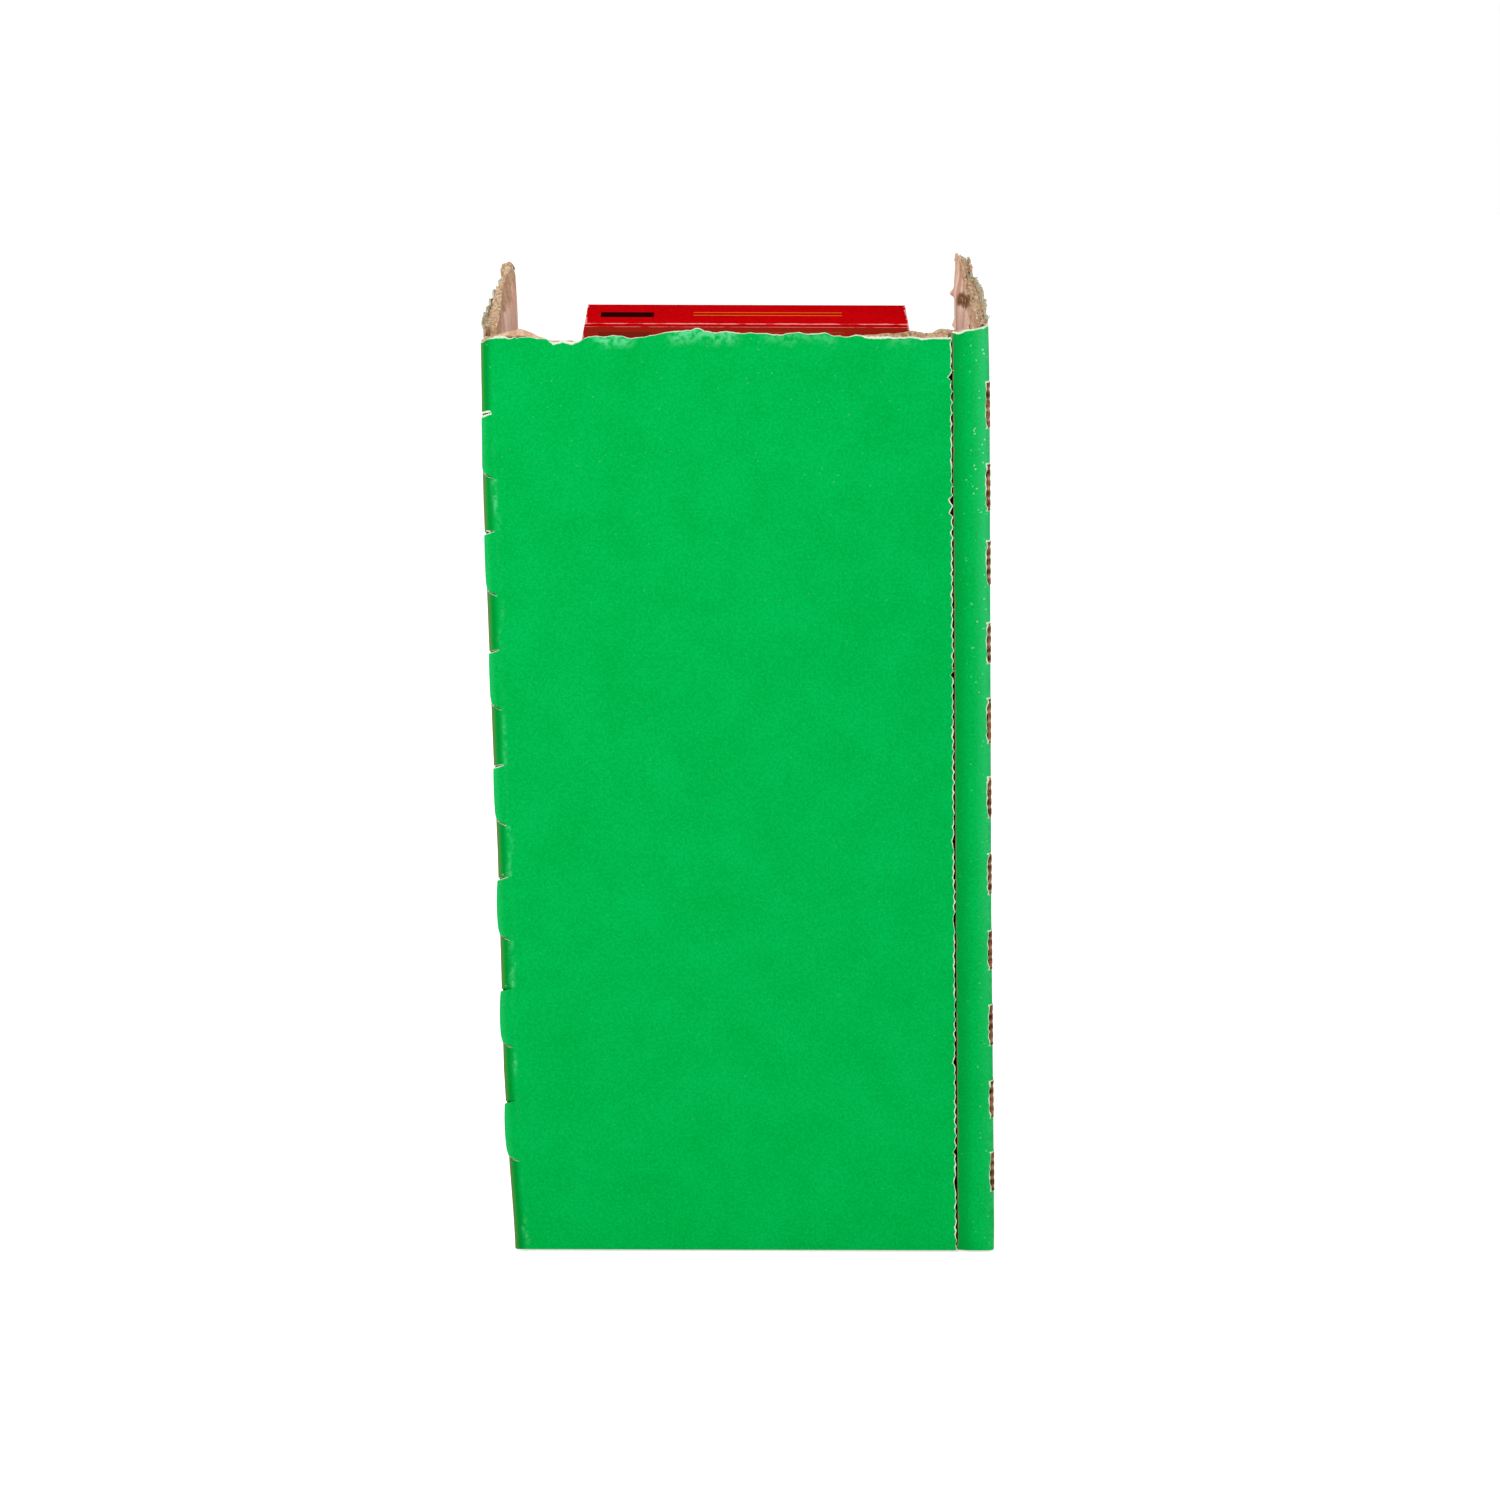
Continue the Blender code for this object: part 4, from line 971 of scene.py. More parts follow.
def add_rear_tears():
    """Torn plies along the rear panel's top, and slivers of white paper at the cut ends of both folds."""
    def place(along, share):
        return along, REAR_Y + (0.7 + 1.9 * share) * MM

    def low(along, share):
        sunk = 0.45 + 0.7 * (1.0 - ramp(along, -33.0 * MM, -26.0 * MM))
        return np.interp(along, *(np.array(LINING_TEAR).T * MM)) - sunk * MM

    add_torn_band("rear_panel_torn_plies", LEFT_X + 2.0 * MM, SEAM_X - 0.3 * MM, place, low, 0.35 * MM, 5)
    add_torn_band("seam_strip_torn_plies", RETURN_X, RIGHT_X - 2.6 * MM, place, low, 0.35 * MM, 6)
    rng = np.random.default_rng(81)
    roots = []
    for x in rng.uniform(-24.0 * MM, SEAM_X - 0.4 * MM, 90):
        root = (x, REAR_Y + rng.uniform(1.4, 2.7) * MM, low(x, 0.5) - 0.2 * MM)
        roots.append((root, (0.0, 0.1, 1.0), rng.uniform(0.3, 0.8) * MM))
    add_flakes("rear_panel_slivers", roots, "torn_fibre", 82)
    roots = []
    for head in TAB_HEADS:
        for _ in range(rng.integers(0, 3)):
            x = FOLD_X - rng.uniform(0.4, 1.3) * MM
            root = (x, REAR_Y + 0.25 * MM, head + rng.uniform(-0.2, 0.3) * MM)
            roots.append((root, (-0.6, -0.1, 0.6), rng.uniform(0.3, 0.9) * MM))
    for end in [end for span in DASHES for end in span]:
        for _ in range(rng.integers(0, 3)):
            root = (DASH_X - 0.05 * MM, REAR_Y + 0.15 * MM, end)
            roots.append((root, (0.3, -0.1, 0.0), rng.uniform(0.2, 0.5) * MM))
    for z in rng.uniform(4.0, 170.0, 40) * MM:
        root = (seam_edge(np.array([z]))[0] - 0.1 * MM, REAR_Y + 0.15 * MM, z)
        roots.append((root, (0.6, -0.1, 0.0), rng.uniform(0.2, 0.4) * MM))
    add_flakes("cut_edge_slivers", roots, "torn_white", 83, "green_print")


# Red tape cartons, modelled once in their own frame: the lid's hinge at +Y on top, the foot at z = 0
CASE_ROUND, HINGE_ROUND = 0.35 * MM, 0.32 * MM
SIDE_SEAM, SIDE_SEAM_STEP, BROAD_BOW = 4.5 * MM, 0.10 * MM, 0.12 * MM
EAR_WIDTH, EAR_ROOM, EAR_LEAN = 10.0 * MM, 0.3 * MM, math.radians(12)
CORE_WALL, CORE_ROOM = 2.5 * MM, 0.05 * MM
TAPE_SIDES, TAPE_GROOVES, TAPE_GROOVE_DEPTH = 144, 14, 0.05 * MM
CORE_SIDES, CORE_GROOVES, CORE_GROOVE_DEPTH = 96, 6, 0.04 * MM
TAPE_END_STEP, TAPE_END_ANGLES = 0.09 * MM, (1.1, 1.75)
NEAR = 0.01 * MM


def box_primitive(name, low, high):
    clear_selection()
    middle = (Vector(low) + Vector(high)) / 2
    bpy.ops.mesh.primitive_cube_add(size=1, location=middle)
    piece = name_piece(name)
    piece.scale = Vector(high) - Vector(low)
    bpy.ops.object.transform_apply(location=True, rotation=True, scale=True)
    return piece


def bisect(piece, point, normal):
    edit(piece, faces=np.ones(len(piece.data.polygons), bool))
    bpy.ops.mesh.bisect(plane_co=point, plane_no=normal)
    leave()


def write_carton_place(piece):
    attribute = piece.data.attributes.new("carton_place", "FLOAT_VECTOR", "POINT")
    attribute.data.foreach_set("vector", points_of(piece).astype(np.float32).ravel())


def edge_ends(piece):
    """The two end points of every edge."""
    return [[piece.data.vertices[index].co for index in edge.vertices] for edge in piece.data.edges]


def model_sleeve():
    """The case: a cube opened on top, with rounded folds, a glued side seam and slightly bowed faces."""
    half_x, half_y = SIDE / 2, THICK / 2
    sleeve = box_primitive("sleeve_pattern", (-half_x, -half_y, 0.0), (half_x, half_y, RIM_Z))
    cut_faces(sleeve, face_middles(sleeve)[:, 2] > RIM_Z - 0.1 * MM)
    edit(sleeve, edges=np.array([min(a.z, b.z) < 0.1 * MM for a, b in edge_ends(sleeve)]))
    bpy.ops.mesh.bevel(offset=CASE_ROUND, segments=3, profile=0.6)
    leave()
    bisect(sleeve, (0.0, half_y - SIDE_SEAM, 0.0), (0.0, 1.0, 0.0))
    for share in (0.2, 0.4, 0.6, 0.8):
        bisect(sleeve, (0.0, 0.0, RIM_Z * share), (0.0, 0.0, 1.0))
        bisect(sleeve, (SIDE * (share - 0.5), 0.0, 0.0), (1.0, 0.0, 0.0))
    x, y, z = points_of(sleeve).T
    bow = np.sin(math.pi * np.clip(x / SIDE + 0.5, 0, 1)) * np.sin(math.pi * np.clip(z / RIM_Z, 0, 1))
    y = y - BROAD_BOW * bow * np.sign(y) * (np.abs(y) > half_y - 0.05 * MM)
    x = x + SIDE_SEAM_STEP * ((x < -half_x + 0.05 * MM) & (y < half_y - SIDE_SEAM - 0.1 * MM))
    move_points(sleeve, np.column_stack((x, y, z)))
    paint(sleeve, "red_print", "carton_inside", "carton_inside")
    thicken(sleeve, PAPERBOARD)
    write_carton_place(sleeve)
    return sleeve


def model_lid():
    """The tuck lid: a thin plate with a rounded hinge fold and two leaning ears at its free edge."""
    half_x, half_y = SIDE / 2, THICK / 2
    under, over = LID_HIGH.z - CASE_LOW.z - PAPERBOARD, LID_HIGH.z - CASE_LOW.z
    ear_drop = LID_HIGH.z - LID_LOW.z - PAPERBOARD
    lid = box_primitive("lid_pattern", (-half_x, -half_y, under), (half_x, half_y, over))
    ear_out = half_x - PAPERBOARD - EAR_ROOM
    ear_in = ear_out - EAR_WIDTH
    ear_y = -half_y + PAPERBOARD + EAR_ROOM
    for x in (-ear_out, -ear_in, ear_in, ear_out):
        bisect(lid, (x, 0.0, 0.0), (1.0, 0.0, 0.0))
    for y in (ear_y, ear_y + PAPERBOARD):
        bisect(lid, (0.0, y, 0.0), (0.0, 1.0, 0.0))
    chosen = []
    for polygon in lid.data.polygons:
        middle = polygon.center
        in_ear = ear_in < abs(middle.x) < ear_out and ear_y < middle.y < ear_y + PAPERBOARD
        chosen.append(in_ear and polygon.normal.z < -0.9)
    edit(lid, faces=np.array(chosen))
    lean = ear_drop * math.tan(EAR_LEAN)
    for share in (0.5, 0.5):
        move = {"value": (0.0, lean * share, -ear_drop * share)}
        bpy.ops.mesh.extrude_region_move(TRANSFORM_OT_translate=move)
    bpy.ops.transform.resize(value=(0.985, 1.0, 1.0))
    leave()
    hinge = [min(a.y, b.y) > half_y - NEAR and min(a.z, b.z) > over - NEAR for a, b in edge_ends(lid)]
    edit(lid, edges=np.array(hinge))
    bpy.ops.mesh.bevel(offset=HINGE_ROUND, segments=3)
    leave()
    paint(lid, "red_print", "carton_inside")
    inner = [polygon.normal.z < -0.5 or polygon.center.z < under - NEAR for polygon in lid.data.polygons]
    lid.data.polygons.foreach_set("material_index", np.array(inner, np.int32))
    write_carton_place(lid)
    return lid


def model_ring(name, low, high, bore, sides, grooves, groove_depth):
    """A wound ring: a cylinder with its ends inset in fine grooves, opened and bridged to a bore."""
    clear_selection()
    radius = (high.x - low.x) / 2
    centre = (0.0, 0.0, (low.z + high.z) / 2 - CASE_LOW.z)
    depth = high.y - low.y - 2 * groove_depth
    bpy.ops.mesh.primitive_cylinder_add(vertices=sides, radius=radius, depth=depth, end_fill_type="NGON",
                                        location=centre, rotation=(math.pi / 2, 0.0, 0.0))
    ring = name_piece(name)
    bpy.ops.object.transform_apply(location=True, rotation=True, scale=True)
    edit(ring, faces=np.array([abs(polygon.normal.y) > 0.9 for polygon in ring.data.polygons]))
    width = (radius - bore) / grooves
    for index in range(grooves):
        bpy.ops.mesh.inset(thickness=width, depth=groove_depth if index % 2 == 0 else -groove_depth)
    bpy.ops.mesh.delete(type="FACE")
    bpy.context.tool_settings.mesh_select_mode = (False, True, False)
    bpy.ops.mesh.select_non_manifold()
    bpy.ops.mesh.bridge_edge_loops()
    bpy.ops.mesh.select_all(action="SELECT")
    bpy.ops.mesh.normals_make_consistent(inside=False)
    leave()
    return ring


def model_tape():
    """The wound tape, with a small step where its free end lies."""
    bore = (CORE_HIGH.x - CORE_LOW.x) / 2 + CORE_ROOM
    tape = model_ring("tape_pattern", TAPE_LOW, TAPE_HIGH, bore, TAPE_SIDES, TAPE_GROOVES, TAPE_GROOVE_DEPTH)
    points = points_of(tape)
    middle = np.array([0.0, 0.0, (TAPE_LOW.z + TAPE_HIGH.z) / 2 - CASE_LOW.z])
    out = (points - middle) * [1.0, 0.0, 1.0]
    reach = np.hypot(out[:, 0], out[:, 2])
    angle = np.arctan2(out[:, 2], out[:, 0])
    outer = reach > (TAPE_HIGH.x - TAPE_LOW.x) / 2 - 0.02 * MM
    start, end = TAPE_END_ANGLES
    step = TAPE_END_STEP * ((angle > start) & (angle < end)) * outer
    move_points(tape, points + out / reach[:, None] * step[:, None])
    paint(tape, "tape_film")
    write_carton_place(tape)
    return tape


def model_core():
    bore = (CORE_HIGH.x - CORE_LOW.x) / 2 - CORE_WALL
    core = model_ring("core_pattern", CORE_LOW, CORE_HIGH, bore, CORE_SIDES, CORE_GROOVES, CORE_GROOVE_DEPTH)
    paint(core, "core_board")
    write_carton_place(core)
    return core


def carton_matrix(carton):
    """From a carton's own frame to its place in the stack."""
    low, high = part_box(carton + "_sleeve")
    middle = (low + high) / 2
    if carton.startswith("standing"):
        return Matrix.Translation((middle.x, middle.y, low.z))
    laid_down = Euler((math.pi / 2, 0.0, math.pi)).to_matrix().to_4x4()
    return Matrix.Translation((middle.x, low.y, middle.z)) @ laid_down


def add_cartons():
    patterns = (("sleeve", "case", model_sleeve(), "red_paperboard"),
                ("lid", "cover", model_lid(), "red_paperboard"),
                ("tape", "wound_tape", model_tape(), "tape_film"),
                ("core", "core_tube", model_core(), "core_board"))
    for carton in CARTONS:
        for node, title, pattern, slot in patterns:
            mesh = pattern.data.copy()
            mesh.transform(carton_matrix(carton))
            piece = bpy.data.objects.new(carton + "_" + title, mesh)
            mesh.name = piece.name
            bpy.context.scene.collection.objects.link(piece)
            write_value(piece, "aged", float(carton in SHADED_WORN_LIDS))
            body = carton + "_lid" if node == "lid" else carton
            seat(piece, slot, carton + "_" + node, body=body)
    for node, title, pattern, slot in patterns:
        bpy.data.objects.remove(pattern, do_unlink=True)


# Materials: 8-bit colours on screen
TONES = {
    # The pale tone serves the strip's painted sheen
    "print_dark": (0, 171, 66), "print_light": (3, 188, 86), "print_pale": (70, 216, 138),
    # The crease tone is painted shade
    "print_crease_shade": (2, 134, 44), "print_rubbed": (112, 228, 164), "print_pinhole": (190, 246, 214),
    # The next board tone serves the strip's real cut edge, and painted shade and grazing reflection on the
    # left fold's far side
    "cut_board_and_fold_shade": (134, 106, 80), "white_core": (226, 236, 214),
    "torn_white_dark": (196, 190, 160), "torn_white_light": (240, 244, 230),
    "kraft_liner_dark": (214, 170, 140), "kraft_liner_light": (242, 212, 186),
    "kraft_wall_dark": (212, 164, 140), "kraft_wall_light": (246, 222, 202),
    "kraft_fluting_dark": (142, 100, 70), "kraft_fluting_light": (184, 146, 108),
    "torn_fibre_dark": (182, 142, 110), "torn_fibre_light": (208, 178, 146),
    "liner_back_dark": (182, 138, 116), "liner_back_light": (214, 176, 154),
    "carton_inside_dark": (196, 190, 178), "carton_inside_light": (222, 218, 206),
    "core_board_dark": (160, 140, 118), "core_board_light": (190, 172, 148),
    "frayed": (220, 192, 160), "frayed_fibre": (216, 196, 166), "frayed_back": (192, 204, 182),
    "frayed_shade": (170, 132, 98), "fleck": (150, 104, 78), "raw_ply": (204, 136, 110),
    # The next two tones are painted shade for pits, dips and tears
    "hollow_dark": (64, 38, 18), "hollow_light": (138, 92, 52),
    # The seam tones are painted shade for the seam's gap
    "seam_dark": (30, 18, 8), "seam_light": (112, 74, 38),
    # The third red is painted shade on lids
    "red_dark": (188, 1, 8), "red_light": (208, 5, 12), "red_lid_shade": (134, 38, 20),
    "bar": (40, 4, 8), "gold": (214, 150, 30), "lid_crease": (232, 150, 140), "worn_red": (240, 186, 176),
    "film_dark": (196, 176, 120), "film_light": (232, 220, 178),
}
# Kraft finishes: tone where frayed, how the fibres are drawn out, bump, and how torn patches are drawn out
EVEN = (420.0, 420.0, 420.0)
KRAFTS = {
    "kraft_liner": ("frayed", (1100.0, 1100.0, 60.0), 0.3, EVEN),
    "kraft_wall": ("frayed", (400.0, 150.0, 24.0), 0.3, (400.0, 140.0, 60.0)),
    "kraft_fluting": ("frayed", (300.0, 300.0, 900.0), 0.3, EVEN),
    "torn_fibre": ("frayed_fibre", (800.0, 800.0, 500.0), 0.6, EVEN),
    "liner_back": ("frayed_back", (900.0, 900.0, 90.0), 0.3, EVEN),
    "carton_inside": ("frayed", (500.0, 500.0, 500.0), 0.2, EVEN),
    "core_board": ("frayed", (200.0, 900.0, 200.0), 0.3, EVEN),
}
# Lid print, in the carton's own frame in millimetres: middle and half width, across and along the lid
BAR_X, BAR_Y = (-22.5, 5.0), (-1.0, 2.6)
LINE_X, LINE_HALF, LINE_PLACES = (4.0, 14.0), 0.16, (1.6, -1.4)
LID_CREASE = (7.0, 0.14)


def tone(name):
    """A colour of the table, made linear."""
    channels = [value / 255.0 for value in TONES[name]]
    linear = [c / 12.92 if c <= 0.04045 else ((c + 0.055) / 1.055) ** 2.4 for c in channels]
    return (*linear, 1.0)


class Nodes:
    """Short ways to add and join the nodes of one tree."""

    def __init__(self, tree):
        self.tree = tree

    def add(self, kind, inputs=None, **settings):
        node = self.tree.nodes.new("ShaderNode" + kind)
        for key, value in settings.items():
            setattr(node, key, value)
        for key, value in (inputs or {}).items():
            self.join(value, node.inputs[key])
        return node

    def join(self, value, socket):
        if isinstance(value, bpy.types.NodeSocket):
            self.tree.links.new(value, socket)
        else:
            socket.default_value = value

    def group(self, name, inputs):
        node = self.add("Group", node_tree=bpy.data.node_groups[name])
        for key, value in inputs.items():
            self.join(value, node.inputs[key])
        return node.outputs

    def math(self, operation, first, second=0.0):
        return self.add("Math", {0: first, 1: second}, operation=operation).outputs[0]

    def spread(self, value, low, high, start=0.0, end=1.0):
        inputs = {"Value": value, "From Min": low, "From Max": high, "To Min": start, "To Max": end}
        return self.add("MapRange", inputs, interpolation_type="SMOOTHSTEP").outputs[0]

    def blend(self, factor, first, second):
        return self.add("Mix", {0: factor, 6: first, 7: second}, data_type="RGBA").outputs[2]

    def noise(self, place, scale, detail=2.0):
        return self.add("TexNoise", {"Vector": place, "Scale": scale, "Detail": detail}).outputs[0]

    def value(self, name):
        return self.add("Attribute", attribute_name=name).outputs["Fac"]

    def between(self, factor, name):
        """The blend of a finish's dark and light tones."""
        return self.blend(factor, tone(name + "_dark"), tone(name + "_light"))

    def vector(self, operation, first, second=(0.0, 0.0, 0.0)):
        return self.add("VectorMath", {0: first, 1: second}, operation=operation).outputs[0]

    def axes(self, vector):
        return self.add("SeparateXYZ", {0: vector}).outputs

    def carton_place(self):
        return self.add("Attribute", attribute_name="carton_place").outputs["Vector"]

    def bump(self, shader, strength, distance, height):
        inputs = {"Strength": strength, "Distance": distance, "Height": height}
        self.join(self.add("Bump", inputs).outputs[0], shader["Normal"])

    def shows_backdrop(self):
        """1 for the rays that see a backdrop itself: from the camera, a mirror or glass."""
        path = self.add("LightPath").outputs
        reflected = self.math("MAXIMUM", path["Is Glossy Ray"], path["Is Transmission Ray"])
        return self.math("MAXIMUM", path["Is Camera Ray"], reflected)

    def object_place(self):
        return self.add("TexCoord").outputs["Object"]


VECTORS = ("Place", "Stretch", "Carton Place", "Centre", "Half Size")


def new_group(name, inputs, outputs):
    """A shader node group with these named inputs and outputs, all values but for the places."""
    tree = bpy.data.node_groups.new(name, "ShaderNodeTree")
    for way, labels in (("INPUT", inputs), ("OUTPUT", outputs)):
        for label in labels:
            kind = "Vector" if label in VECTORS else "Float"
            tree.interface.new_socket(name=label, in_out=way, socket_type="NodeSocket" + kind)
    source = tree.nodes.new("NodeGroupInput")
    sink = tree.nodes.new("NodeGroupOutput")
    return Nodes(tree), source.outputs, sink.inputs


def new_finish(name, **constants):
    material = bpy.data.materials.new(name)
    material.use_nodes = True
    shader = material.node_tree.nodes["Principled BSDF"]
    for label, value in constants.items():
        shader.inputs[label.replace("_", " ").title().replace("Ior", "IOR")].default_value = value
    return material, Nodes(material.node_tree), shader.inputs


def make_paper_grain():
    """Fine mottling with slow clouds, for any paper."""
    n, given, result = new_group("paper_grain", ("Place", "Fine Scale", "Cloud Scale"), ("Tone", "Height"))
    fine = n.noise(given["Place"], given["Fine Scale"], 3.0)
    cloud = n.noise(given["Place"], given["Cloud Scale"], 2.0)
    n.join(n.math("ADD", n.math("MULTIPLY", fine, 0.75), n.math("MULTIPLY", cloud, 0.25)), result["Tone"])
    n.join(fine, result["Height"])


def make_fibre():
    """Fibres drawn out along one direction, and the odd dark fleck."""
    n, given, result = new_group("paper_fibre", ("Place", "Stretch"), ("Streak", "Fleck"))
    drawn = n.vector("MULTIPLY", given["Place"], given["Stretch"])
    n.join(n.noise(drawn, 1.0, 4.0), result["Streak"])
    n.join(n.spread(n.noise(drawn, 2.3, 1.0), 0.66, 0.76), result["Fleck"])


def make_torn_rim():
    """White core paper along an edge: the edge value is 0 on the edge and 1 where the print starts."""
    n, given, result = new_group("torn_rim", ("Edge", "Place", "Ragged Scale"), ("Mask",))
    uneven = n.math("SUBTRACT", n.noise(given["Place"], given["Ragged Scale"], 3.0), 0.5)
    edge = n.math("ADD", given["Edge"], n.math("MULTIPLY", uneven, 1.3))
    n.join(n.spread(edge, 1.15, 0.75), result["Mask"])


def make_specks():
    """Sparse pinholes in a printed face, one at most in each cell, the commonest ones small."""
    n, given, result = new_group("pinholes", ("Place", "Scale", "Size", "Share"), ("Mask",))
    x, y, z = n.axes(given["Place"])
    flat = n.add("CombineXYZ", {0: n.math("ADD", x, y), 1: z}).outputs[0]
    wobble = n.add("TexNoise", {"Vector": given["Place"], "Scale": 2600.0, "Detail": 2.0}).outputs["Color"]
    wobble = n.add("VectorMath", {0: wobble, "Scale": 0.00045}, operation="SCALE").outputs[0]
    flat = n.vector("ADD", flat, wobble)
    cells = n.add("TexVoronoi", {"Vector": flat, "Scale": given["Scale"]}, voronoi_dimensions="2D")
    pick = n.add("SeparateColor", {0: cells.outputs["Color"]}).outputs[2]
    grown = n.spread(n.math("DIVIDE", pick, given["Share"]), 0.0, 1.0, 1.5, 0.3)
    near = n.math("LESS_THAN", cells.outputs["Distance"], n.math("MULTIPLY", given["Size"], grown))
    n.join(n.math("MULTIPLY", near, n.math("LESS_THAN", pick, given["Share"])), result["Mask"])


def make_worn_fold():
    """Bare board along the edges of a box, from its own coordinates: wider here and there, in blobs."""
    inputs = ("Carton Place", "Centre", "Half Size", "Place", "Width")
    n, given, result = new_group("worn_fold", inputs, ("Mask",))
    local = n.vector("ABSOLUTE", n.vector("SUBTRACT", given["Carton Place"], given["Centre"]))
    x, y, z = n.axes(n.vector("SUBTRACT", given["Half Size"], local))
    near = n.math("MAXIMUM", n.math("MINIMUM", x, y), n.math("MINIMUM", n.math("MAXIMUM", x, y), z))
    patch = n.spread(n.noise(given["Place"], 260.0, 3.0), 0.38, 0.72, 0.1, 2.6)
    width = n.math("MULTIPLY", patch, given["Width"])
    n.join(n.math("SUBTRACT", 1.0, n.spread(n.math("DIVIDE", near, width), 0.5, 1.0)), result["Mask"])


def make_green_print():
    """Matte green print: mottled, rubbed and specked by the piece's values, white where it is torn."""
    material, n, shader = new_finish("green_print", specular_ior_level=0.0)
    place = n.object_place()
    grain = n.group("paper_grain", {"Place": place, "Fine Scale": 2400.0, "Cloud Scale": 110.0})
    color = n.between(n.spread(grain["Tone"], 0.32, 0.68), "print")
    # Pale value: a painted sheen on the strip; on the tabs it only makes the print paler
    color = n.blend(n.math("MULTIPLY", n.value("pale"), 0.6), color, tone("print_pale"))
    # Painted shade at creases and beside the seam, from the piece's crease value
    color = n.blend(n.math("MULTIPLY", n.value("crease"), 0.8), color, tone("print_crease_shade"))
    worn = n.math("MULTIPLY", n.value("rub"), n.spread(n.noise(place, 900.0, 3.0), 0.35, 0.6))
    color = n.blend(n.math("MULTIPLY", worn, 0.75), color, tone("print_rubbed"))
    share = n.math("ADD", n.math("MULTIPLY", n.value("scuff"), 0.8), 0.02)
    pinholes = n.group("pinholes", {"Place": place, "Scale": 900.0, "Size": 0.1, "Share": share})["Mask"]
    strength = n.math("MAXIMUM", n.math("SUBTRACT", n.value("scuff"), 0.03), 0.03)
    color = n.blend(n.math("MULTIPLY", pinholes, strength), color, tone("print_pinhole"))
    rim = n.group("torn_rim", {"Edge": n.value("rim"), "Place": place, "Ragged Scale": 1400.0})["Mask"]
    # Board tone: the strip's real cut edge, and painted grey-brown shade and grazing reflection on the left
    # fold's far side
    color = n.blend(n.value("bare"), color, tone("cut_board_and_fold_shade"))
    color = n.blend(rim, color, tone("white_core"))
    n.join(color, shader["Base Color"])
    dull = n.math("ADD", rim, n.math("MULTIPLY", grain["Tone"], 0.3))
    n.join(n.spread(dull, 0.0, 1.0, 0.6, 0.9), shader["Roughness"])
    n.bump(shader, 0.3, 0.00012, n.math("ADD", grain["Height"], rim))
    return material


def make_kraft(name, frayed, stretch, streak_bump, patches):
    """Unbleached board: two browns mixed by fibre streaks, torn patches where it is frayed, painted shade in
    hollows.
    """
    material, n, shader = new_finish(name, roughness=0.92, specular_ior_level=0.05)
    place = n.object_place()
    fibre = n.group("paper_fibre", {"Place": place, "Stretch": stretch})
    grain = n.group("paper_grain", {"Place": place, "Fine Scale": 1700.0, "Cloud Scale": 210.0})
    mixed = n.math("ADD", n.math("MULTIPLY", fibre["Streak"], 0.7), n.math("MULTIPLY", grain["Tone"], 0.3))
    color = n.between(n.spread(mixed, 0.38, 0.62), name)
    color = n.blend(n.math("MULTIPLY", fibre["Fleck"], 0.4), color, tone("fleck"))
    patch = n.math("SUBTRACT", n.noise(n.vector("MULTIPLY", place, patches), 1.0, 3.0), 0.5)
    torn_off = n.spread(n.math("ADD", n.value("frayed"), n.math("MULTIPLY", patch, 1.6)), 0.45, 0.6)
    shaded = n.blend(n.spread(grain["Tone"], 0.38, 0.62), tone("frayed_shade"), tone(frayed))
    color = n.blend(torn_off, color, shaded)
    raw = n.spread(n.noise(place, 230.0, 2.0), 0.56, 0.66)
    raw = n.math("MULTIPLY", n.math("MULTIPLY", torn_off, 0.6), raw)
    color = n.blend(raw, color, tone("raw_ply"))
    # Painted shade, dark brown, in pits, dips, dashes and tears
    deep = n.between(n.spread(n.noise(place, 900.0, 2.0), 0.4, 0.6), "hollow")
    color = n.blend(n.math("MULTIPLY", n.value("hollow"), 0.92), color, deep)
    # Painted shade in the seam's gap, near black-brown, from the seam value
    seam = n.between(n.spread(n.noise(place, 700.0, 2.0), 0.46, 0.64), "seam")
    color = n.blend(n.value("seam"), color, seam)
    n.join(color, shader["Base Color"])
    n.bump(shader, streak_bump, 0.0002, n.math("ADD", fibre["Streak"], grain["Height"]))
    return material


def make_torn_white():
    material, n, shader = new_finish("torn_white", roughness=0.95, specular_ior_level=0.05)
    grain = n.group("paper_grain", {"Place": n.object_place(), "Fine Scale": 2200.0, "Cloud Scale": 420.0})
    n.join(n.between(n.spread(grain["Tone"], 0.35, 0.65), "torn_white"), shader["Base Color"])
    n.bump(shader, 0.5, 0.0002, grain["Height"])
    return material


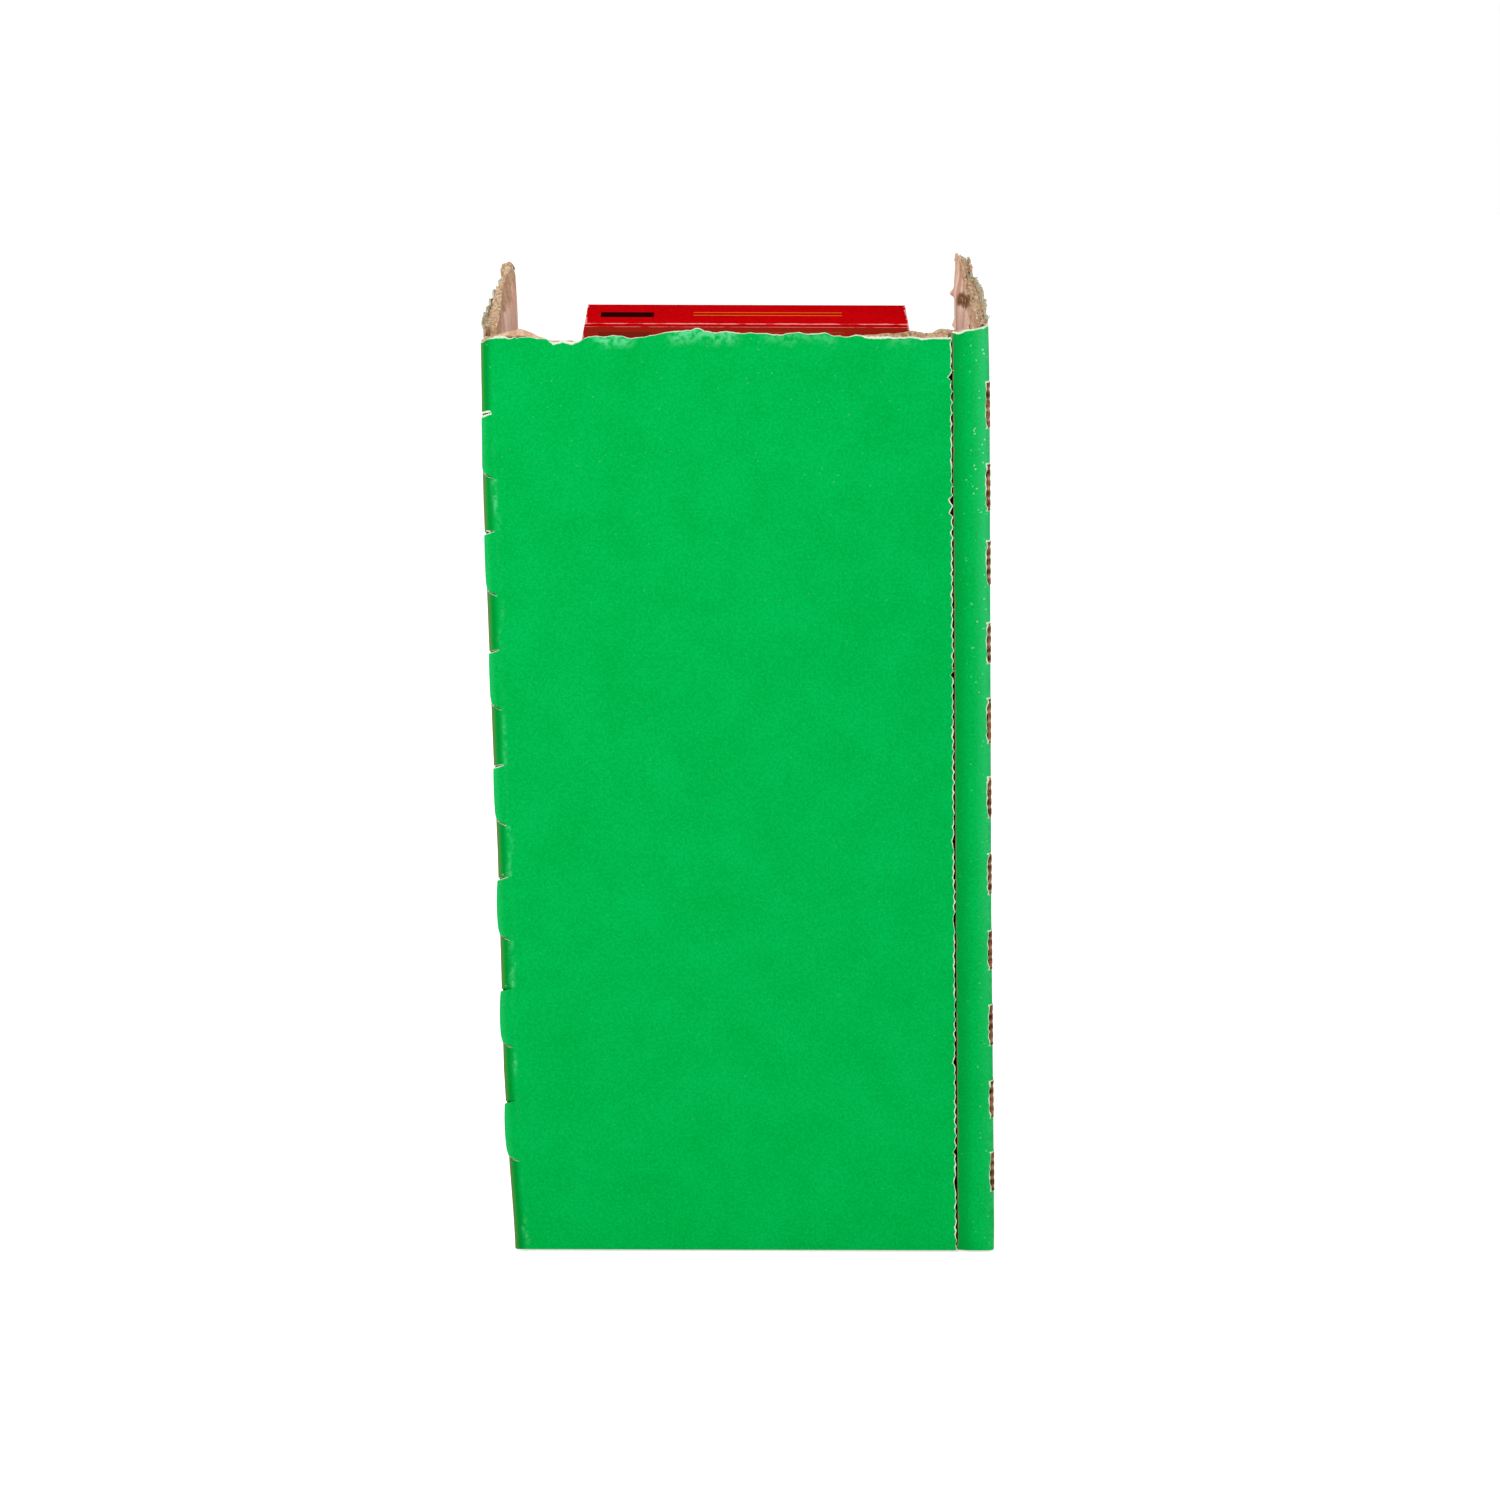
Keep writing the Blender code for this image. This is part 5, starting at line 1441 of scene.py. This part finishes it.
def make_red_print():
    """Red print with worn folds, a dark bar and gold hairlines; a listed carton is darkened with painted
    shade in front of its lid's crease, and that crease is worn pale.
    """
    material, n, shader = new_finish("red_print", specular_ior_level=0.0)
    place, local = n.object_place(), n.carton_place()
    x, y, _ = n.axes(local)
    grain = n.group("paper_grain", {"Place": place, "Fine Scale": 1300.0, "Cloud Scale": 90.0})
    color = n.between(n.spread(grain["Tone"], 0.34, 0.66), "red")

    def band(value, middle, half):
        off = n.math("ABSOLUTE", n.math("SUBTRACT", value, middle * MM))
        return n.spread(off, (half + 0.05) * MM, half * MM)

    color = n.blend(n.math("MULTIPLY", band(x, *BAR_X), band(y, *BAR_Y)), color, tone("bar"))
    for height in LINE_PLACES:
        line = n.math("MULTIPLY", band(x, *LINE_X), band(y, height, LINE_HALF))
        color = n.blend(line, color, tone("gold"))
    # Painted shade in front of the lid's crease on the listed cartons
    front = n.spread(y, (LID_CREASE[0] + 0.1) * MM, (LID_CREASE[0] - 0.1) * MM)
    aged = n.value("aged")
    color = n.blend(n.math("MULTIPLY", aged, n.math("MULTIPLY", front, 0.75)), color, tone("red_lid_shade"))
    crease = n.math("MULTIPLY", band(y, *LID_CREASE), n.spread(n.noise(place, 500.0, 2.0), 0.3, 0.6))
    color = n.blend(n.math("MULTIPLY", aged, crease), color, tone("lid_crease"))
    centre, half = (0.0, 0.0, SIDE / 2), (SIDE / 2, THICK / 2, SIDE / 2)
    box = {"Carton Place": local, "Centre": centre, "Half Size": half, "Place": place, "Width": 0.26 * MM}
    worn = n.group("worn_fold", box)["Mask"]
    color = n.blend(n.math("MULTIPLY", worn, 0.85), color, tone("worn_red"))
    n.join(color, shader["Base Color"])
    dull = n.math("ADD", worn, n.math("MULTIPLY", grain["Tone"], 0.4))
    n.join(n.spread(dull, 0.0, 1.2, 0.3, 0.75), shader["Roughness"])
    n.bump(shader, 0.2, 0.0001, grain["Height"])
    return material


def make_tape_film():
    """Wound film: fine rings on the sides from the distance to the roll's axis, slow streaks outside."""
    coat = {"coat_weight": 0.3, "coat_roughness": 0.1}
    material, n, shader = new_finish("tape_film", specular_ior_level=0.5, **coat)
    x, y, z = n.axes(n.carton_place())
    flat = n.add("CombineXYZ", {0: x, 1: n.math("SUBTRACT", z, SIDE / 2)}).outputs[0]
    reach = n.add("VectorMath", {0: flat}, operation="LENGTH").outputs["Value"]
    drawn = {0: n.math("MULTIPLY", reach, 9000.0), 1: n.math("MULTIPLY", y, 30.0)}
    rings = n.noise(n.add("CombineXYZ", drawn).outputs[0], 1.0)
    n.join(n.between(n.spread(rings, 0.3, 0.7), "film"), shader["Base Color"])
    n.join(n.spread(rings, 0.3, 0.7, 0.18, 0.4), shader["Roughness"])
    n.bump(shader, 0.25, 0.0001, rings)
    return material


def make_finishes():
    for make in (make_paper_grain, make_fibre, make_torn_rim, make_specks, make_worn_fold):
        make()
    finishes = {name: make_kraft(name, *settings) for name, settings in KRAFTS.items()}
    finishes["green_print"] = make_green_print()
    finishes["torn_white"] = make_torn_white()
    finishes["red_print"] = make_red_print()
    finishes["tape_film"] = make_tape_film()
    return finishes


# Stage: each lamp's name, place, aim, size and power, and the photo's view
FLOOR_SIZE, FLOOR_DROP, FLOOR_GLOW = 2.4, 0.5 * MM, 0.68
WORLD_STRENGTH = 0.24
LAMPS = (("key_light", (-0.25, -0.5, 0.6), (0.0, 0.0, 0.12), 0.5, 4.6),
         ("fill_light", (0.6, 0.6, 0.8), (0.0, 0.0, 0.12), 0.8, 3.8),
         ("right_light", (0.6, 0.08, 0.3), (0.0, 0.0, 0.17), 0.3, 1.1),
         ("left_light", (-0.6, 0.08, 0.3), (0.0, 0.0, 0.17), 0.3, 0.8))
CAMERA_PLACE = (-0.000367, -0.855169, 0.324713)
CAMERA_YAW, CAMERA_TILT, CAMERA_ROLL = -0.096, 90.0 - 15.515, 0.193
CAMERA_SENSOR, CAMERA_LENS = 36.0, 112.32


def add_floor():
    clear_selection()
    bpy.ops.mesh.primitive_plane_add(size=FLOOR_SIZE, location=(0.0, 0.0, -FLOOR_DROP))
    floor = name_piece("floor")
    material, n, shader = new_finish("floor_white", roughness=0.9, specular_ior_level=0.1)
    shader["Base Color"].default_value = (0.9, 0.9, 0.9, 1.0)
    shader["Emission Color"].default_value = (1.0, 1.0, 1.0, 1.0)
    n.join(n.math("MULTIPLY", n.shows_backdrop(), FLOOR_GLOW), shader["Emission Strength"])
    floor.data.materials.append(material)


def add_lights():
    world = bpy.data.worlds.new("studio")
    bpy.context.scene.world = world
    world.use_nodes = True
    n = Nodes(world.node_tree)
    backdrop = world.node_tree.nodes["Background"]
    backdrop.inputs["Color"].default_value = (1.0, 1.0, 1.0, 1.0)
    n.join(n.spread(n.shows_backdrop(), 0.0, 1.0, WORLD_STRENGTH, 1.0), backdrop.inputs["Strength"])
    for name, place, aim, size, power in LAMPS:
        lamp = bpy.data.lights.new(name, "AREA")
        lamp.size = size
        lamp.energy = power
        light = bpy.data.objects.new(name, lamp)
        light.location = place
        light.rotation_euler = (Vector(aim) - Vector(place)).to_track_quat("-Z", "Y").to_euler()
        bpy.context.scene.collection.objects.link(light)


def add_camera():
    """The photo's view: a long lens a little above the torn top."""
    camera = bpy.data.objects.new("camera", bpy.data.cameras.new("camera"))
    bpy.context.scene.collection.objects.link(camera)
    camera.data.sensor_width = CAMERA_SENSOR
    camera.data.lens = CAMERA_LENS
    yaw, tilt, roll = (math.radians(angle) for angle in (CAMERA_YAW, CAMERA_TILT, CAMERA_ROLL))
    turn = Matrix.Rotation(yaw, 4, "Z") @ Matrix.Rotation(tilt, 4, "X") @ Matrix.Rotation(roll, 4, "Z")
    camera.matrix_world = Matrix.Translation(CAMERA_PLACE) @ turn
    bpy.context.scene.camera = camera


FINISHES = make_finishes()
add_rear_print()
add_strip_print()
add_flat_lining("rear_panel_lining", "rear_panel_inner_liner", LEFT_X + 0.6 * MM, SEAM_X - 0.1 * MM, 61)
add_flat_lining("seam_strip_lining", "seam_strip_inner_liner", RETURN_X - 0.3 * MM, RIGHT_X - BOARD, 62)
add_flat_fluting("rear_panel_flutes", "rear_panel_fluting", FOLD_X - 0.5 * MM, SEAM_X - 1.0 * MM, 63)
add_flat_fluting("seam_strip_flutes", "seam_strip_fluting", RETURN_X + 0.4 * MM, RIGHT_X - BOARD, 64)
for wall_name, flute_start in (("left_wall", WALL_Y), ("right_wall", REAR_Y + 0.5 * MM)):
    add_wall_print(wall_name)
    add_wall_lining(wall_name)
    add_wall_fluting(wall_name, flute_start)
    add_wall_tears(wall_name)
add_rear_tears()
add_base_panel()
add_glue_tab()
for node_name in ("left_glue_flap", "right_glue_flap"):
    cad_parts[node_name].material_slots[0].material = FINISHES["kraft_liner"]
add_cartons()
add_floor()
add_lights()
add_camera()
bpy.context.scene.view_settings.view_transform = "Standard"
